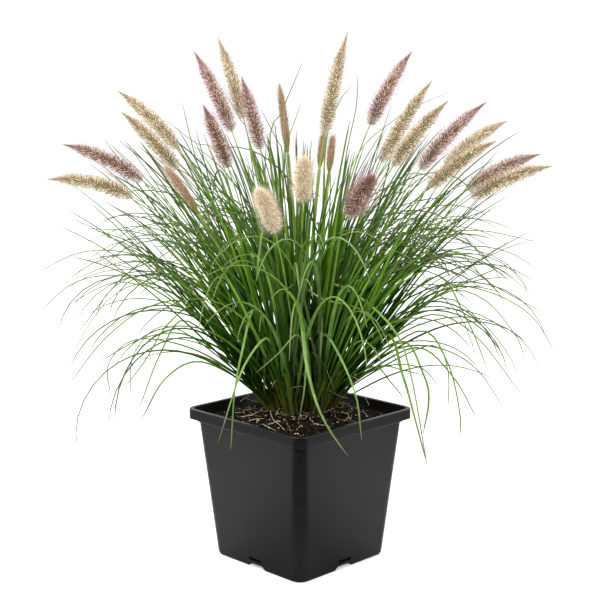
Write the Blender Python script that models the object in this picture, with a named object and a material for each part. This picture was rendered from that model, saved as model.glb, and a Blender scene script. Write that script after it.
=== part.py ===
"""Potted fountain grass clump.

A square black nursery pot filled with potting mix, and a clump of fountain grass in it:
leaf tufts that arch out on all sides, and flowering stems that each carry one
bottlebrush plume. Metres, +Z up. The origin is the centre of the pot's flat underside,
and the pot's sides are parallel to X and Y.
"""

import math
import random

import bmesh
import bpy
from mathutils import Vector
from mathutils.bvhtree import BVHTree

MM = 0.001
UP = Vector((0, 0, 1))

# Gap that two touching pieces keep.
GAP = 0.3 * MM

# Square nursery pot, about 8 litres.
POT_HEIGHT = 210 * MM
RIM_HALF = 112.5 * MM
BODY_TOP_HALF = 102.5 * MM
BASE_HALF = 85 * MM
WALL = 2.5 * MM
FLOOR = 3 * MM
CORNER_RADIUS = 16 * MM
CORNER_STEPS = 5
BOTTOM_RADIUS = 5.5 * MM
SHOULDER_HEIGHT = 191 * MM
SHOULDER_STEP = 3 * MM
BAND_HEIGHT = 14 * MM
LIP_THICKNESS = 2.2 * MM
RIM_TOP_WIDTH = 7 * MM
EDGE_ROUND = 1.2 * MM

# Drain recesses: one in the middle of each bottom edge, with a slot above it.
RECESS_WIDTH = 30 * MM
RECESS_FLARE = 4 * MM
RECESS_HEIGHT = 6 * MM
RECESS_DEPTH = 40 * MM
SLOT_WIDTH = 24 * MM
SLOT_BOTTOM = 10 * MM
SLOT_HEIGHT = 4.5 * MM

# Potting mix, mounded a little towards the crown of the clump.
MIX_EDGE_HEIGHT = 196 * MM
MIX_CROWN_HEIGHT = 207 * MM
MIX_ROUGHNESS = 1.5 * MM
MIX_TOP_RINGS = 4
ROOT_DEPTH = 8 * MM
COLLAR_HEIGHT = 4 * MM

# The clump. Its places are given as (across, toward): across runs to the right and
# toward runs out of the pot's front corner, for someone who faces that corner.
CROWN = (0 * MM, -15 * MM)
CROWN_RADIUS = 46 * MM

# Flowering stems and plumes, one row each: the plume's tip (across, toward, height) and
# length in mm, how far the stem bends over in degrees, and the plume's kind.
PLUMES = (
    (-325, 70, 530, 112, 75, "tan"),
    (-320, -20, 570, 117, 60, "purple"),
    (-255, -100, 640, 119, 45, "tan"),
    (-235, 20, 615, 105, 35, "tan"),
    (-170, 110, 550, 80, 20, "bud"),
    (-150, -130, 695, 130, 30, "purple"),
    (-125, 50, 625, 90, 15, "purple"),
    (-120, -200, 715, 134, 25, "tan"),
    (-80, -60, 660, 102, 15, "purple"),
    (-30, -160, 650, 108, 15, "bud"),
    (65, -60, 720, 142, 20, "tan"),
    (35, -200, 575, 60, 20, "bud"),
    (50, -250, 570, 65, 5, "bud"),
    (160, -150, 695, 130, 40, "purple"),
    (180, -50, 655, 130, 30, "tan"),
    (190, 60, 630, 112, 40, "tan"),
    (260, -90, 625, 134, 40, "purple"),
    (305, -190, 595, 127, 50, "tan"),
    (250, 80, 580, 107, 50, "tan"),
    (330, -50, 555, 112, 55, "purple"),
    (330, 40, 545, 113, 60, "tan"),
    (-50, 250, 535, 105, 45, "pale"),
    (5, 215, 570, 98, 50, "pale"),
    (90, 190, 545, 88, 45, "purple"),
)
PLUME_RADIUS = {"tan": 9.5 * MM, "purple": 9.5 * MM, "pale": 12 * MM, "bud": 4.5 * MM}
# Along a plume: share of its length, and share of its full radius there.
PLUME_OUTLINE = ((0, 0.3), (0.1, 0.85), (0.35, 1), (0.68, 0.8), (0.9, 0.42), (1, 0.08))
STEM_RADIUS = (1.5 * MM, 0.9 * MM)
STEM_SEGMENTS = 5
ROOT_OFFSET = 6 * MM
ROOT_SPREAD = 0.09
STEM_TRIES = 400
# How much further from its aim each try sets a stem's root.
STEM_TRY_STEP = 0.1 * MM
POCKET_SIDES = 6

# Leaf tufts: (distance from the crown's centre, number of tufts, first heading).
TUFT_RINGS = ((14 * MM, 3, 20), (38 * MM, 7, 5))
TUFT_SIDES = 5
SHEATH_RADIUS = 5 * MM
# Shares of that radius, from the sheath's foot in the mix up to its top.
SHEATH_WIDTHS = (1, 1, 1.1, 1.1, 1.05, 0.95)
SHEATH_RISE = 16 * MM
SHEATH_LEAN = 14
TIER_HEIGHT = 11 * MM
TIERS = 3
# Stems keep out of this much room around a sheath and above it, where its blades start.
CREST_RADIUS = 9 * MM
CREST_RISE = 30 * MM

# Leaf blades: width and thickness at each share of the length.
BLADE_SECTIONS = (
    (0.035, 3.6 * MM, 1.3 * MM),
    (0.28, 4.6 * MM, 1.2 * MM),
    (0.54, 3.8 * MM, 1.0 * MM),
    (0.80, 2.4 * MM, 0.8 * MM),
)
BLADE_HALF_WIDTH = 2.3 * MM
BLADE_TRIES = 300
# The furthest that a blade's tip lies from the pot's axis.
CLUMP_REACH = 352 * MM
# Room that a blade keeps outside the pot's rim and above it.
RIM_CLEARANCE = (4 * MM, 2 * MM)
# For each tier from the top down: lean at the start and further bend in degrees, and
# length in mm. The lowest tier has blades on the side away from the crown only.
TOP_BLADES = ((4, 24), (15, 70), (340, 460))
OUTER_BLADES = (
    ((20, 38), (40, 85), (390, 470)),
    ((36, 54), (55, 115), (350, 450)),
    ((50, 70), (60, 110), (310, 410)),
)
INNER_BLADES = (
    ((14, 28), (30, 90), (330, 440)),
    ((26, 42), (50, 110), (320, 420)),
)
# How far in degrees a blade's heading strays from the face that it grows out of.
TOP_STRAY = 22
OUTER_STRAY = 32
INNER_STRAY = 55
# A tier's blades lean out at least this much more than those above them.
TIER_SPREAD = 8
# Short straight runs that an arching route is worked out from.
ARCH_STEPS = 60

SEED = 11


def clear_scene():
    for thing in list(bpy.data.objects):
        bpy.data.objects.remove(thing, do_unlink=True)


def new_collection(name):
    collection = bpy.data.collections.new(name)
    bpy.context.scene.collection.children.link(collection)
    return collection


def new_material(name, colour, roughness):
    material = bpy.data.materials.new(name)
    material.use_nodes = True
    shader = material.node_tree.nodes["Principled BSDF"]
    shader.inputs["Base Color"].default_value = (*colour, 1)
    shader.inputs["Roughness"].default_value = roughness
    shader.inputs["Metallic"].default_value = 0
    return material


def new_object(name, mesh, collection, material=None):
    thing = bpy.data.objects.new(name, mesh)
    collection.objects.link(thing)
    if material:
        mesh.materials.append(material)
    return thing


def mesh_from(bm, name):
    bmesh.ops.recalc_face_normals(bm, faces=bm.faces)
    mesh = bpy.data.meshes.new(name)
    bm.to_mesh(mesh)
    bm.free()
    return mesh


def mark_cutter(thing):
    thing.hide_render = True
    thing.display_type = "WIRE"
    return thing


def cut(thing, cutter):
    modifier = thing.modifiers.new("cut " + cutter.name, "BOOLEAN")
    modifier.operation = "DIFFERENCE"
    modifier.solver = "EXACT"
    modifier.object = cutter


def place(across, toward, height=0.0):
    """The point of the pot's frame that the view from its front corner names."""
    return Vector(((across + toward) * math.sqrt(0.5), (across - toward) * math.sqrt(0.5), height))


def level_heading(angle):
    return Vector((math.cos(angle), math.sin(angle), 0))


# ---------------------------------------------------------------- lofted solids


def rounded_square(half, radius, height):
    """One ring: a square with round corners, seen from above, at a height."""
    ring = []
    for corner in range(4):
        start = corner * math.pi / 2
        middle = start + math.pi / 4
        reach = (half - radius) * math.sqrt(2)
        for step in range(CORNER_STEPS + 1):
            turn = start + step * math.pi / 2 / CORNER_STEPS
            ring.append(
                Vector(
                    (
                        reach * math.cos(middle) + radius * math.cos(turn),
                        reach * math.sin(middle) + radius * math.sin(turn),
                        height,
                    )
                )
            )
    return ring


def polygon_ring(middle, radius, sides, first):
    """One level ring: a regular polygon with a corner at the angle first."""
    return [middle + level_heading(first + math.tau * i / sides) * radius for i in range(sides)]


def loft(bm, rings):
    """Joins rings of equal counts into a closed body. Returns its bands of side faces and its top."""
    rows = [[bm.verts.new(point) for point in ring] for ring in rings]
    count = len(rows[0])
    bands = []
    for lower, upper in zip(rows, rows[1:]):
        band = []
        for i in range(count):
            j = (i + 1) % count
            band.append(bm.faces.new((lower[i], lower[j], upper[j], upper[i])))
        bands.append(band)
    bm.faces.new(reversed(rows[0]))
    top = bm.faces.new(rows[-1])
    return bands, top


# ---------------------------------------------------------------- the pot


def wall_half(height):
    """Half the pot's outer width at a height below the shoulder."""
    return BASE_HALF + (BODY_TOP_HALF - BASE_HALF) * height / SHOULDER_HEIGHT


def pot_outside():
    """Rings up the outside, out under the rim, down inside its band and back up outside it."""
    shoulder = BODY_TOP_HALF + SHOULDER_STEP
    neck = RIM_HALF - RIM_TOP_WIDTH + WALL
    band_inner = RIM_HALF - LIP_THICKNESS
    band_bottom = POT_HEIGHT - BAND_HEIGHT
    lip_underside = POT_HEIGHT - LIP_THICKNESS
    neck_radius = CORNER_RADIUS - (RIM_HALF - neck)
    steps = (
        (wall_half(0) - BOTTOM_RADIUS, 0, CORNER_RADIUS - BOTTOM_RADIUS),
        (wall_half(0) - 0.3 * BOTTOM_RADIUS, 0.3 * BOTTOM_RADIUS, CORNER_RADIUS - 0.3 * BOTTOM_RADIUS),
        (wall_half(BOTTOM_RADIUS), BOTTOM_RADIUS, CORNER_RADIUS),
        (BODY_TOP_HALF, SHOULDER_HEIGHT, CORNER_RADIUS),
        (shoulder, SHOULDER_HEIGHT + SHOULDER_STEP / 2, CORNER_RADIUS),
        (neck, lip_underside, neck_radius),
        (band_inner, lip_underside, CORNER_RADIUS - LIP_THICKNESS),
        (band_inner, band_bottom, CORNER_RADIUS - LIP_THICKNESS),
        (RIM_HALF, band_bottom, CORNER_RADIUS),
        (RIM_HALF, POT_HEIGHT - EDGE_ROUND, CORNER_RADIUS),
        (RIM_HALF - EDGE_ROUND, POT_HEIGHT, CORNER_RADIUS - EDGE_ROUND),
        (RIM_HALF - RIM_TOP_WIDTH - 2 * EDGE_ROUND, POT_HEIGHT, neck_radius - EDGE_ROUND),
    )
    return [rounded_square(half, radius, height) for half, height, radius in steps]


def cavity_rings(shrink, top_rings):
    """Rings up the inside of the pot, each set in from the wall and floor by shrink."""
    inner_radius = CORNER_RADIUS - WALL - shrink
    floor = FLOOR + shrink
    fillet = BOTTOM_RADIUS - WALL
    steps = (
        (wall_half(floor) - WALL - shrink - fillet, floor, inner_radius - fillet),
        (wall_half(floor + fillet) - WALL - shrink, floor + fillet, inner_radius),
        (BODY_TOP_HALF - WALL - shrink, SHOULDER_HEIGHT, inner_radius),
    )
    return [rounded_square(half, radius, height) for half, height, radius in steps] + top_rings


def cavity_top():
    neck = RIM_HALF - RIM_TOP_WIDTH
    radius = CORNER_RADIUS - RIM_TOP_WIDTH
    return [
        rounded_square(BODY_TOP_HALF + SHOULDER_STEP - WALL, radius, SHOULDER_HEIGHT + SHOULDER_STEP),
        rounded_square(neck, radius, POT_HEIGHT - EDGE_ROUND),
        rounded_square(neck + 2 * EDGE_ROUND, radius + EDGE_ROUND, POT_HEIGHT + EDGE_ROUND),
    ]


def recess_prism(name, grow, collection):
    """Four bars, one under the middle of each bottom edge, with flared lower sides."""
    low, high = -2 * MM, RECESS_HEIGHT + grow
    wide = RECESS_WIDTH / 2 + grow
    foot = wide + RECESS_FLARE
    bm = bmesh.new()
    for quarter in range(4):
        out = level_heading(quarter * math.pi / 2)
        aside = UP.cross(out)
        inner = out * (BASE_HALF - RECESS_DEPTH - grow)
        outline = [
            inner + aside * across + UP * height
            for across, height in (
                (-foot, low),
                (foot, low),
                (wide + 0.2 * RECESS_FLARE, 0.5 * high),
                (wide - 0.5 * RECESS_FLARE, high),
                (0.5 * RECESS_FLARE - wide, high),
                (-wide - 0.2 * RECESS_FLARE, 0.5 * high),
            )
        ]
        face = bm.faces.new([bm.verts.new(point) for point in outline])
        reach = out * (RECESS_DEPTH + grow + 2 * WALL)
        extruded = bmesh.ops.extrude_face_region(bm, geom=[face], use_keep_orig=True)
        moved = [item for item in extruded["geom"] if isinstance(item, bmesh.types.BMVert)]
        bmesh.ops.translate(bm, vec=reach, verts=moved)
    return mark_cutter(new_object(name, mesh_from(bm, name), collection))


def slot_cutters(collection):
    """Four drain slots through the wall, one above each recess."""
    bm = bmesh.new()
    for quarter in range(4):
        out = level_heading(quarter * math.pi / 2)
        made = bmesh.ops.create_cube(bm, size=1)
        middle = out * BASE_HALF + UP * (SLOT_BOTTOM + SLOT_HEIGHT / 2)
        along = 6 * WALL
        size = Vector((along, SLOT_WIDTH, SLOT_HEIGHT))
        if quarter % 2:
            size = Vector((SLOT_WIDTH, along, SLOT_HEIGHT))
        bmesh.ops.scale(bm, vec=size, verts=made["verts"])
        bmesh.ops.translate(bm, vec=middle, verts=made["verts"])
    return mark_cutter(new_object("drain_slots", mesh_from(bm, "drain_slots"), collection))


def make_pot(collection, cutters, material):
    bm = bmesh.new()
    loft(bm, pot_outside())
    pot = new_object("pot", mesh_from(bm, "pot"), collection, material)
    bm = bmesh.new()
    loft(bm, cavity_rings(0, cavity_top()))
    cavity = mark_cutter(new_object("pot_cavity", mesh_from(bm, "pot_cavity"), cutters))
    cut(cavity, recess_prism("recess_bosses", WALL, cutters))
    cut(pot, cavity)
    cut(pot, recess_prism("recesses", 0, cutters))
    cut(pot, slot_cutters(cutters))
    return pot


# ---------------------------------------------------------------- the potting mix


def mix_height(point):
    """Height of the potting mix's surface at a point of the pot."""
    edge = BODY_TOP_HALF - WALL
    share = min(1, max(abs(point.x), abs(point.y)) / edge)
    return MIX_EDGE_HEIGHT + (MIX_CROWN_HEIGHT - MIX_EDGE_HEIGHT) * (1 - share * share)


def mix_surface(dice):
    """Rings over the mounded surface, from the wall inwards, a little uneven."""
    edge = BODY_TOP_HALF + SHOULDER_STEP - WALL - GAP
    radius = CORNER_RADIUS - RIM_TOP_WIDTH
    rings = [rounded_square(edge, radius, MIX_EDGE_HEIGHT - 2 * MM)]
    for step in range(MIX_TOP_RINGS):
        share = 1 - step / MIX_TOP_RINGS
        half = (edge - 1 * MM) * share
        ring = rounded_square(half, max(radius, half * (1 - share)), 0)
        for point in ring:
            point.z = mix_height(point) + dice.uniform(-MIX_ROUGHNESS, MIX_ROUGHNESS) * share
        rings.append(ring)
    return rings


def make_mix(dice, roots, collection, cutters, material):
    """The mix fills the pot. Each stem and tuft stands in a pocket of its own."""
    bm = bmesh.new()
    loft(bm, cavity_rings(GAP, mix_surface(dice)))
    mix = new_object("potting_mix", mesh_from(bm, "potting_mix"), collection, material)
    cut(mix, recess_prism("mix_bosses", WALL + GAP, cutters))
    bm = bmesh.new()
    for point, radius, sides, first in roots:
        surface = Vector((point.x, point.y, mix_height(point)))
        low = surface - UP * (ROOT_DEPTH + 2 * GAP)
        high = surface + UP * 3 * COLLAR_HEIGHT
        loft(bm, [polygon_ring(middle, radius, sides, first) for middle in (low, high)])
    pockets = mark_cutter(new_object("root_pockets", mesh_from(bm, "root_pockets"), cutters))
    cut(mix, pockets)
    return mix


# ---------------------------------------------------------------- arching routes


def arch(start, heading, lean, bend, length, shares):
    """Points of a stalk that leans by lean at its start and by bend more at its tip.

    The lean is measured from upright, and grows with the square of the way along.
    shares are the places of the points, from 0 at the start to 1 at the tip.
    """
    out = level_heading(heading)
    point = start.copy()
    way = [point.copy()]
    for i in range(ARCH_STEPS):
        angle = lean + bend * ((i + 0.5) / ARCH_STEPS) ** 2
        point += (out * math.sin(angle) + UP * math.cos(angle)) * (length / ARCH_STEPS)
        way.append(point.copy())
    points = []
    for share in shares:
        at = share * ARCH_STEPS
        index = min(int(at), ARCH_STEPS - 1)
        points.append(way[index].lerp(way[index + 1], at - index))
    return points


def arch_to(start, tip, bend):
    """Heading, first lean and length of the arching stalk that ends at tip."""
    level = Vector((tip.x - start.x, tip.y - start.y, 0))
    unit_tip = arch(Vector(), 0, 0, bend, 1, (1,))[0]
    length = (tip - start).length / unit_tip.length
    lean = math.atan2(level.length, tip.z - start.z) - math.atan2(unit_tip.x, unit_tip.z)
    return math.atan2(level.y, level.x), lean, length


class TakenSpace:
    """Where stalks and blades already run, so that no later one is grown through them."""

    CELL = 16 * MM
    SPACING = 3 * MM
    # Pieces that leave one tuft side by side are only kept apart past this distance.
    SHARED_ROOT = 45 * MM

    def __init__(self):
        self.cells = {}

    def samples(self, points):
        run = 0.0
        for start, end in zip(points, points[1:]):
            length = (end - start).length
            count = max(1, math.ceil(length / self.SPACING))
            for i in range(count):
                yield start.lerp(end, i / count), run + length * i / count
            run += length
        yield points[-1], run

    def cell(self, point):
        return tuple(math.floor(value / self.CELL) for value in point)

    def add(self, points, radius, owner):
        for point, run in self.samples(points):
            self.cells.setdefault(self.cell(point), []).append((point, run, radius, owner))

    def free(self, points, radius, owner):
        for point, run in self.samples(points):
            x, y, z = self.cell(point)
            for i in (x - 1, x, x + 1):
                for j in (y - 1, y, y + 1):
                    for k in (z - 1, z, z + 1):
                        for other, other_run, other_radius, other_owner in self.cells.get((i, j, k), ()):
                            if owner == other_owner and min(run, other_run) < self.SHARED_ROOT:
                                continue
                            if (point - other).length < radius + other_radius + 2 * GAP:
                                return False
        return True


def clears_pot(points, radius):
    """True if a route passes well over the potting mix and the rim."""
    beside, above = RIM_CLEARANCE
    steps = 8
    for start, end in zip(points, points[1:]):
        for i in range(steps):
            point = start.lerp(end, (i + 1) / steps)
            out = max(abs(point.x), abs(point.y))
            if out < RIM_HALF + beside and point.z < POT_HEIGHT + radius + above:
                return False
    return True


# ---------------------------------------------------------------- flowering stems


class Stem:
    """One flowering stem and its plume: where they run."""

    def __init__(self, root, tip, bend, plume_length, kind):
        self.kind = kind
        self.root = Vector((root.x, root.y, mix_height(root)))
        collar = self.root + UP * COLLAR_HEIGHT
        heading, lean, length = arch_to(collar, tip, bend)
        neck = 1 - plume_length / length
        end = neck - GAP / length
        stem_shares = [end * i / (STEM_SEGMENTS - 1) for i in range(STEM_SEGMENTS)]
        self.stem = [self.root - UP * ROOT_DEPTH]
        self.stem += arch(collar, heading, lean, bend, length, stem_shares)
        shares = [neck + (1 - neck) * share for share, _ in PLUME_OUTLINE]
        self.plume = arch(collar, heading, lean, bend, length, shares)
        self.plume_radius = PLUME_RADIUS[kind]


def grow_stems(taken, dice):
    """Settles each stem's root near the crown, on its plume's side and clear of the others."""
    crown = place(*CROWN)
    stems = []
    for across, toward, height, plume_length, bend, kind in PLUMES:
        tip = place(across * MM, toward * MM, height * MM)
        level = Vector((tip.x - crown.x, tip.y - crown.y, 0))
        reach = min(CROWN_RADIUS, ROOT_OFFSET + ROOT_SPREAD * level.length)
        aim = crown + level.normalized() * reach
        for attempt in range(STEM_TRIES):
            root = aim + level_heading(dice.uniform(0, math.tau)) * STEM_TRY_STEP * attempt
            stem = Stem(root, tip, math.radians(bend), plume_length * MM, kind)
            owner = len(stems)
            if not taken.free(stem.stem, STEM_RADIUS[0] + 4 * GAP, owner):
                continue
            if taken.free(stem.plume, stem.plume_radius, owner):
                break
        taken.add(stem.stem, STEM_RADIUS[0], owner)
        taken.add(stem.plume, stem.plume_radius, owner)
        stems.append(stem)
    return stems


def make_tube(name, points, radii, sides_level, collection, material):
    """A tapered tube with closed ends along a route."""
    curve = bpy.data.curves.new(name, "CURVE")
    curve.dimensions = "3D"
    curve.bevel_depth = 1
    curve.bevel_resolution = sides_level
    curve.use_fill_caps = True
    spline = curve.splines.new("POLY")
    spline.points.add(len(points) - 1)
    for spot, point, radius in zip(spline.points, points, radii):
        spot.co = (*point, 1)
        spot.radius = radius
    curve.materials.append(material)
    tube = bpy.data.objects.new(name, curve)
    collection.objects.link(tube)
    return tube


def make_stems(stems, collection, stem_material, plume_materials):
    for number, stem in enumerate(stems, 1):
        steps = len(stem.stem) - 1
        radii = [STEM_RADIUS[0] + (STEM_RADIUS[1] - STEM_RADIUS[0]) * i / steps for i in range(steps + 1)]
        make_tube(f"flower_stem_{number:02d}", stem.stem, radii, 0, collection, stem_material)
        radii = [stem.plume_radius * share for _, share in PLUME_OUTLINE]
        material = plume_materials[stem.kind]
        make_tube(f"plume_{number:02d}", stem.plume, radii, 1, collection, material)


# ---------------------------------------------------------------- leaf tufts


class Tuft:
    """A sheath of joined leaf bases, whose upper faces each grow into a blade."""

    def __init__(self, middle, outward):
        self.outward = outward
        self.root = Vector((middle.x, middle.y, mix_height(middle)))
        lean = math.tan(math.radians(SHEATH_LEAN))
        heights = [-ROOT_DEPTH, COLLAR_HEIGHT, SHEATH_RISE]
        heights += [SHEATH_RISE + TIER_HEIGHT * (i + 1) for i in range(TIERS)]
        out = level_heading(outward)
        self.axis = [self.root + UP * h + out * lean * max(0, h - COLLAR_HEIGHT) for h in heights]
        self.first = outward - math.pi / TUFT_SIDES
        self.rings = [
            polygon_ring(point, SHEATH_RADIUS * width, TUFT_SIDES, self.first)
            for point, width in zip(self.axis, SHEATH_WIDTHS)
        ]

    def crest(self):
        """The line that the room for the blades' lower ends is kept along."""
        return [self.axis[1], self.axis[-1], self.axis[-1] + UP * CREST_RISE]


def place_tufts():
    tufts = []
    for distance, count, first in TUFT_RINGS:
        for i in range(count):
            view_angle = math.radians(first) + math.tau * i / count
            across = CROWN[0] + distance * math.cos(view_angle)
            toward = CROWN[1] + distance * math.sin(view_angle)
            out = place(math.cos(view_angle), math.sin(view_angle))
            tufts.append(Tuft(place(across, toward), math.atan2(out.y, out.x)))
    return tufts


def blade_sections(corners, outward, route, heading):
    """Corners of each section of a blade, from the face that it grows out of towards its tip."""
    middle = sum(corners, Vector()) / len(corners)
    lateral = UP.cross(outward)
    spots = []
    for corner in corners:
        side = (corner - middle).dot(lateral)
        side = 0 if abs(side) < 0.2 * MM else math.copysign(1, side)
        spots.append((side, math.copysign(1, (corner - middle).dot(UP - outward))))
    lateral = UP.cross(level_heading(heading))
    sections = [corners]
    for i, (_, width, thickness) in enumerate(BLADE_SECTIONS, 1):
        along = (route[i + 1] - route[i - 1]).normalized()
        upper = along.cross(lateral)
        sections.append(
            [route[i] + lateral * side * width / 2 + upper * level * thickness / 2 for side, level in spots]
        )
    return sections


def runs_into(tree, sections, tip):
    """True if a blade would cross its own tuft, apart from the edges that it starts from."""
    corners, first = sections[0], sections[1]
    middle = sum(corners, Vector()) / len(corners)
    start = [corner.lerp(middle, 0.1).lerp(later, 0.1) for corner, later in zip(corners, first)]
    points = [point for section in [start] + sections[1:] for point in section] + [tip]
    count = len(corners)
    polygons = []
    for row in range(len(sections) - 1):
        for i in range(count):
            j = (i + 1) % count
            low, high = row * count, (row + 1) * count
            polygons.append((low + i, low + j, high + j))
            polygons.append((low + i, high + j, high + i))
    last = (len(sections) - 1) * count
    polygons += [(last + i, last + (i + 1) % count, len(points) - 1) for i in range(count)]
    return bool(BVHTree.FromPolygons(points, polygons).overlap(tree))


def draw_out(bm, face, sections, tip):
    """Extrudes a face through a blade's sections to its tip."""
    for section in sections[1:]:
        face = bmesh.ops.extrude_discrete_faces(bm, faces=[face])["faces"][0]
        for vert, point in zip(face.verts, section):
            vert.co = point
    face = bmesh.ops.extrude_discrete_faces(bm, faces=[face])["faces"][0]
    bmesh.ops.pointmerge(bm, verts=list(face.verts), merge_co=tip)


def grow_blade(bm, face, column, outward, ranges, least_lean, taken, name, dice):
    """Tries arching blades until one is clear of all that has grown so far. Returns its lean."""
    shares = [0] + [share for share, _, _ in BLADE_SECTIONS] + [1]
    stray, leans, bends, lengths = ranges
    start = face.calc_center_median()
    corners = [vert.co.copy() for vert in face.verts]
    tree = BVHTree.FromBMesh(bm)
    for attempt in range(BLADE_TRIES):
        heading = column + math.radians(dice.uniform(-stray, stray))
        lean = max(least_lean, dice.uniform(*leans))
        bend = math.radians(dice.uniform(*bends))
        length = dice.uniform(*lengths) * MM
        route = arch(start, heading, math.radians(lean), bend, length, shares)
        if math.hypot(route[-1].x, route[-1].y) > CLUMP_REACH:
            continue
        if not clears_pot(route, BLADE_HALF_WIDTH) or not taken.free(route, BLADE_HALF_WIDTH, name):
            continue
        sections = blade_sections(corners, outward, route, heading)
        if runs_into(tree, sections, route[-1]):
            continue
        taken.add(route, BLADE_HALF_WIDTH, name)
        draw_out(bm, face, sections, route[-1])
        return lean
    return None


def blade_ranges(tier, outer):
    """How the blades of a tier run: stray, lean, bend and length, or nothing if it has none there."""
    if tier == 0:
        return (TOP_STRAY, *TOP_BLADES)
    if outer:
        return (OUTER_STRAY, *OUTER_BLADES[tier - 1])
    if tier <= len(INNER_BLADES):
        return (INNER_STRAY, *INNER_BLADES[tier - 1])
    return None


def make_tuft(name, tuft, taken, dice, collection, material):
    """Grows the blades of the sheath's top first, then those of each tier below it."""
    bm = bmesh.new()
    bands, top = loft(bm, tuft.rings)
    fan = bmesh.ops.poke(bm, faces=[top])["faces"]
    fan.sort(key=lambda face: column_of(face, tuft))
    least_leans = [TOP_BLADES[0][0]] * TUFT_SIDES
    for tier, faces in enumerate([fan] + bands[: -1 - TIERS : -1]):
        for side, face in enumerate(faces):
            turn = math.tau * side / TUFT_SIDES
            column = tuft.outward + turn
            ranges = blade_ranges(tier, math.cos(turn) > 0)
            if not ranges:
                continue
            outward = level_heading(column)
            lean = grow_blade(bm, face, column, outward, ranges, least_leans[side], taken, name, dice)
            if lean:
                least_leans[side] = lean + TIER_SPREAD
    return new_object(name, mesh_from(bm, name), collection, material)


def column_of(face, tuft):
    """Which side of the sheath a face of its top lies on, counted from the outward one."""
    away = face.calc_center_median() - tuft.axis[-1]
    turn = math.atan2(away.y, away.x) - tuft.outward
    return round(turn / math.tau * TUFT_SIDES) % TUFT_SIDES


# ---------------------------------------------------------------- the whole


def main():
    clear_scene()
    grass = new_collection("fountain_grass")
    cutters = new_collection("cutters")
    dice = random.Random(SEED)
    plastic = new_material("pot_plastic", (0.022, 0.022, 0.024), 0.42)
    mix = new_material("potting_mix", (0.035, 0.022, 0.014), 0.95)
    leaf = new_material("leaf_green", (0.075, 0.19, 0.035), 0.55)
    stalk = new_material("stem_green", (0.14, 0.24, 0.06), 0.5)
    plumes = {
        "tan": new_material("plume_tan", (0.52, 0.38, 0.2), 0.85),
        "purple": new_material("plume_purple", (0.33, 0.18, 0.19), 0.85),
        "pale": new_material("plume_pale", (0.62, 0.47, 0.3), 0.85),
        "bud": new_material("plume_bud", (0.27, 0.14, 0.08), 0.8),
    }

    tufts = {f"leaf_tuft_{number:02d}": tuft for number, tuft in enumerate(place_tufts(), 1)}
    reserved = TakenSpace()
    for name, tuft in tufts.items():
        reserved.add(tuft.crest(), CREST_RADIUS, name)
    stems = grow_stems(reserved, dice)
    taken = TakenSpace()
    for name, tuft in tufts.items():
        taken.add(tuft.axis, SHEATH_RADIUS * max(SHEATH_WIDTHS), name)
    for stem in stems:
        taken.add(stem.stem, STEM_RADIUS[0], stem)
        taken.add(stem.plume, stem.plume_radius, stem)

    make_pot(grass, cutters, plastic)
    roots = [(stem.root, STEM_RADIUS[0] + 2 * GAP, POCKET_SIDES, 0) for stem in stems]
    roots += [(tuft.root, SHEATH_RADIUS + 2 * GAP, TUFT_SIDES, tuft.first) for tuft in tufts.values()]
    make_mix(dice, roots, grass, cutters, mix)
    make_stems(stems, grass, stalk, plumes)
    for name, tuft in tufts.items():
        make_tuft(name, tuft, taken, dice, grass, leaf)


main()
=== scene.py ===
"""Potted fountain grass clump: the finish of its pot, potting mix, leaves, stems and plumes.

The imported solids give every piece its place. Each operator below grows or makes one kind of
piece around them: the nursery pot, the potting mix with what lies on it, the leaf tufts,
the flowering stems, the plumes, and the stage. Metres, +Z up, origin under the pot's middle.
"""

import math
import random

import bmesh
import bpy
import numpy as np
from bpy.props import FloatProperty, FloatVectorProperty, IntProperty, PointerProperty
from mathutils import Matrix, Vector, noise


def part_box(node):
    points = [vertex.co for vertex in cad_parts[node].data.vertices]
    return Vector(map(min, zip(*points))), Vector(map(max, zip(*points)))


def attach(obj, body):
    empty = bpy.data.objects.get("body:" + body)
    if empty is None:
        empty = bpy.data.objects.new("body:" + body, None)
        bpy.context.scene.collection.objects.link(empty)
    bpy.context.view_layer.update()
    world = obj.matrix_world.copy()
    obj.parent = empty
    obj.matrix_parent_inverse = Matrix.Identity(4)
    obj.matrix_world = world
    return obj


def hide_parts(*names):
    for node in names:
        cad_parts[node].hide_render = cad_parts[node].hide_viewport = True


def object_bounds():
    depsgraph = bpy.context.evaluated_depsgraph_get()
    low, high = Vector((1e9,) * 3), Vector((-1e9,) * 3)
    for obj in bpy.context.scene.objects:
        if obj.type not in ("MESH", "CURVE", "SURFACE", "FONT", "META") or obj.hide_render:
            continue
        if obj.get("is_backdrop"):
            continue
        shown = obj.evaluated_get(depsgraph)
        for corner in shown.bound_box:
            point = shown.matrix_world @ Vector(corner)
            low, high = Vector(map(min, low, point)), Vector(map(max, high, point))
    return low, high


bl_info = {
    "name": "Potted Fountain Grass",
    "version": (1, 0, 0),
    "blender": (4, 5, 0),
    "location": "3D View > Sidebar > Fountain Grass",
    "description": "Grows a clump of fountain grass in a square nursery pot",
    "category": "Object",
}

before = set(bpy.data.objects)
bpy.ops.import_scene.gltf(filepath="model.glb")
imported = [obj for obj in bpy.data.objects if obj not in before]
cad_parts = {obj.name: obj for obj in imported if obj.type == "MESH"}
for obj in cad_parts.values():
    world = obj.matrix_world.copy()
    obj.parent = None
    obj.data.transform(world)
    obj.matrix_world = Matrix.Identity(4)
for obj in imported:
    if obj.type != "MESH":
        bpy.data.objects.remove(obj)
CAD_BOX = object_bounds()

MM = 0.001
UP = Vector((0, 0, 1))
GOLDEN_ANGLE = math.pi * (3 - math.sqrt(5))

# ---------------------------------------------------------------- sizes shared with the solids

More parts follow.
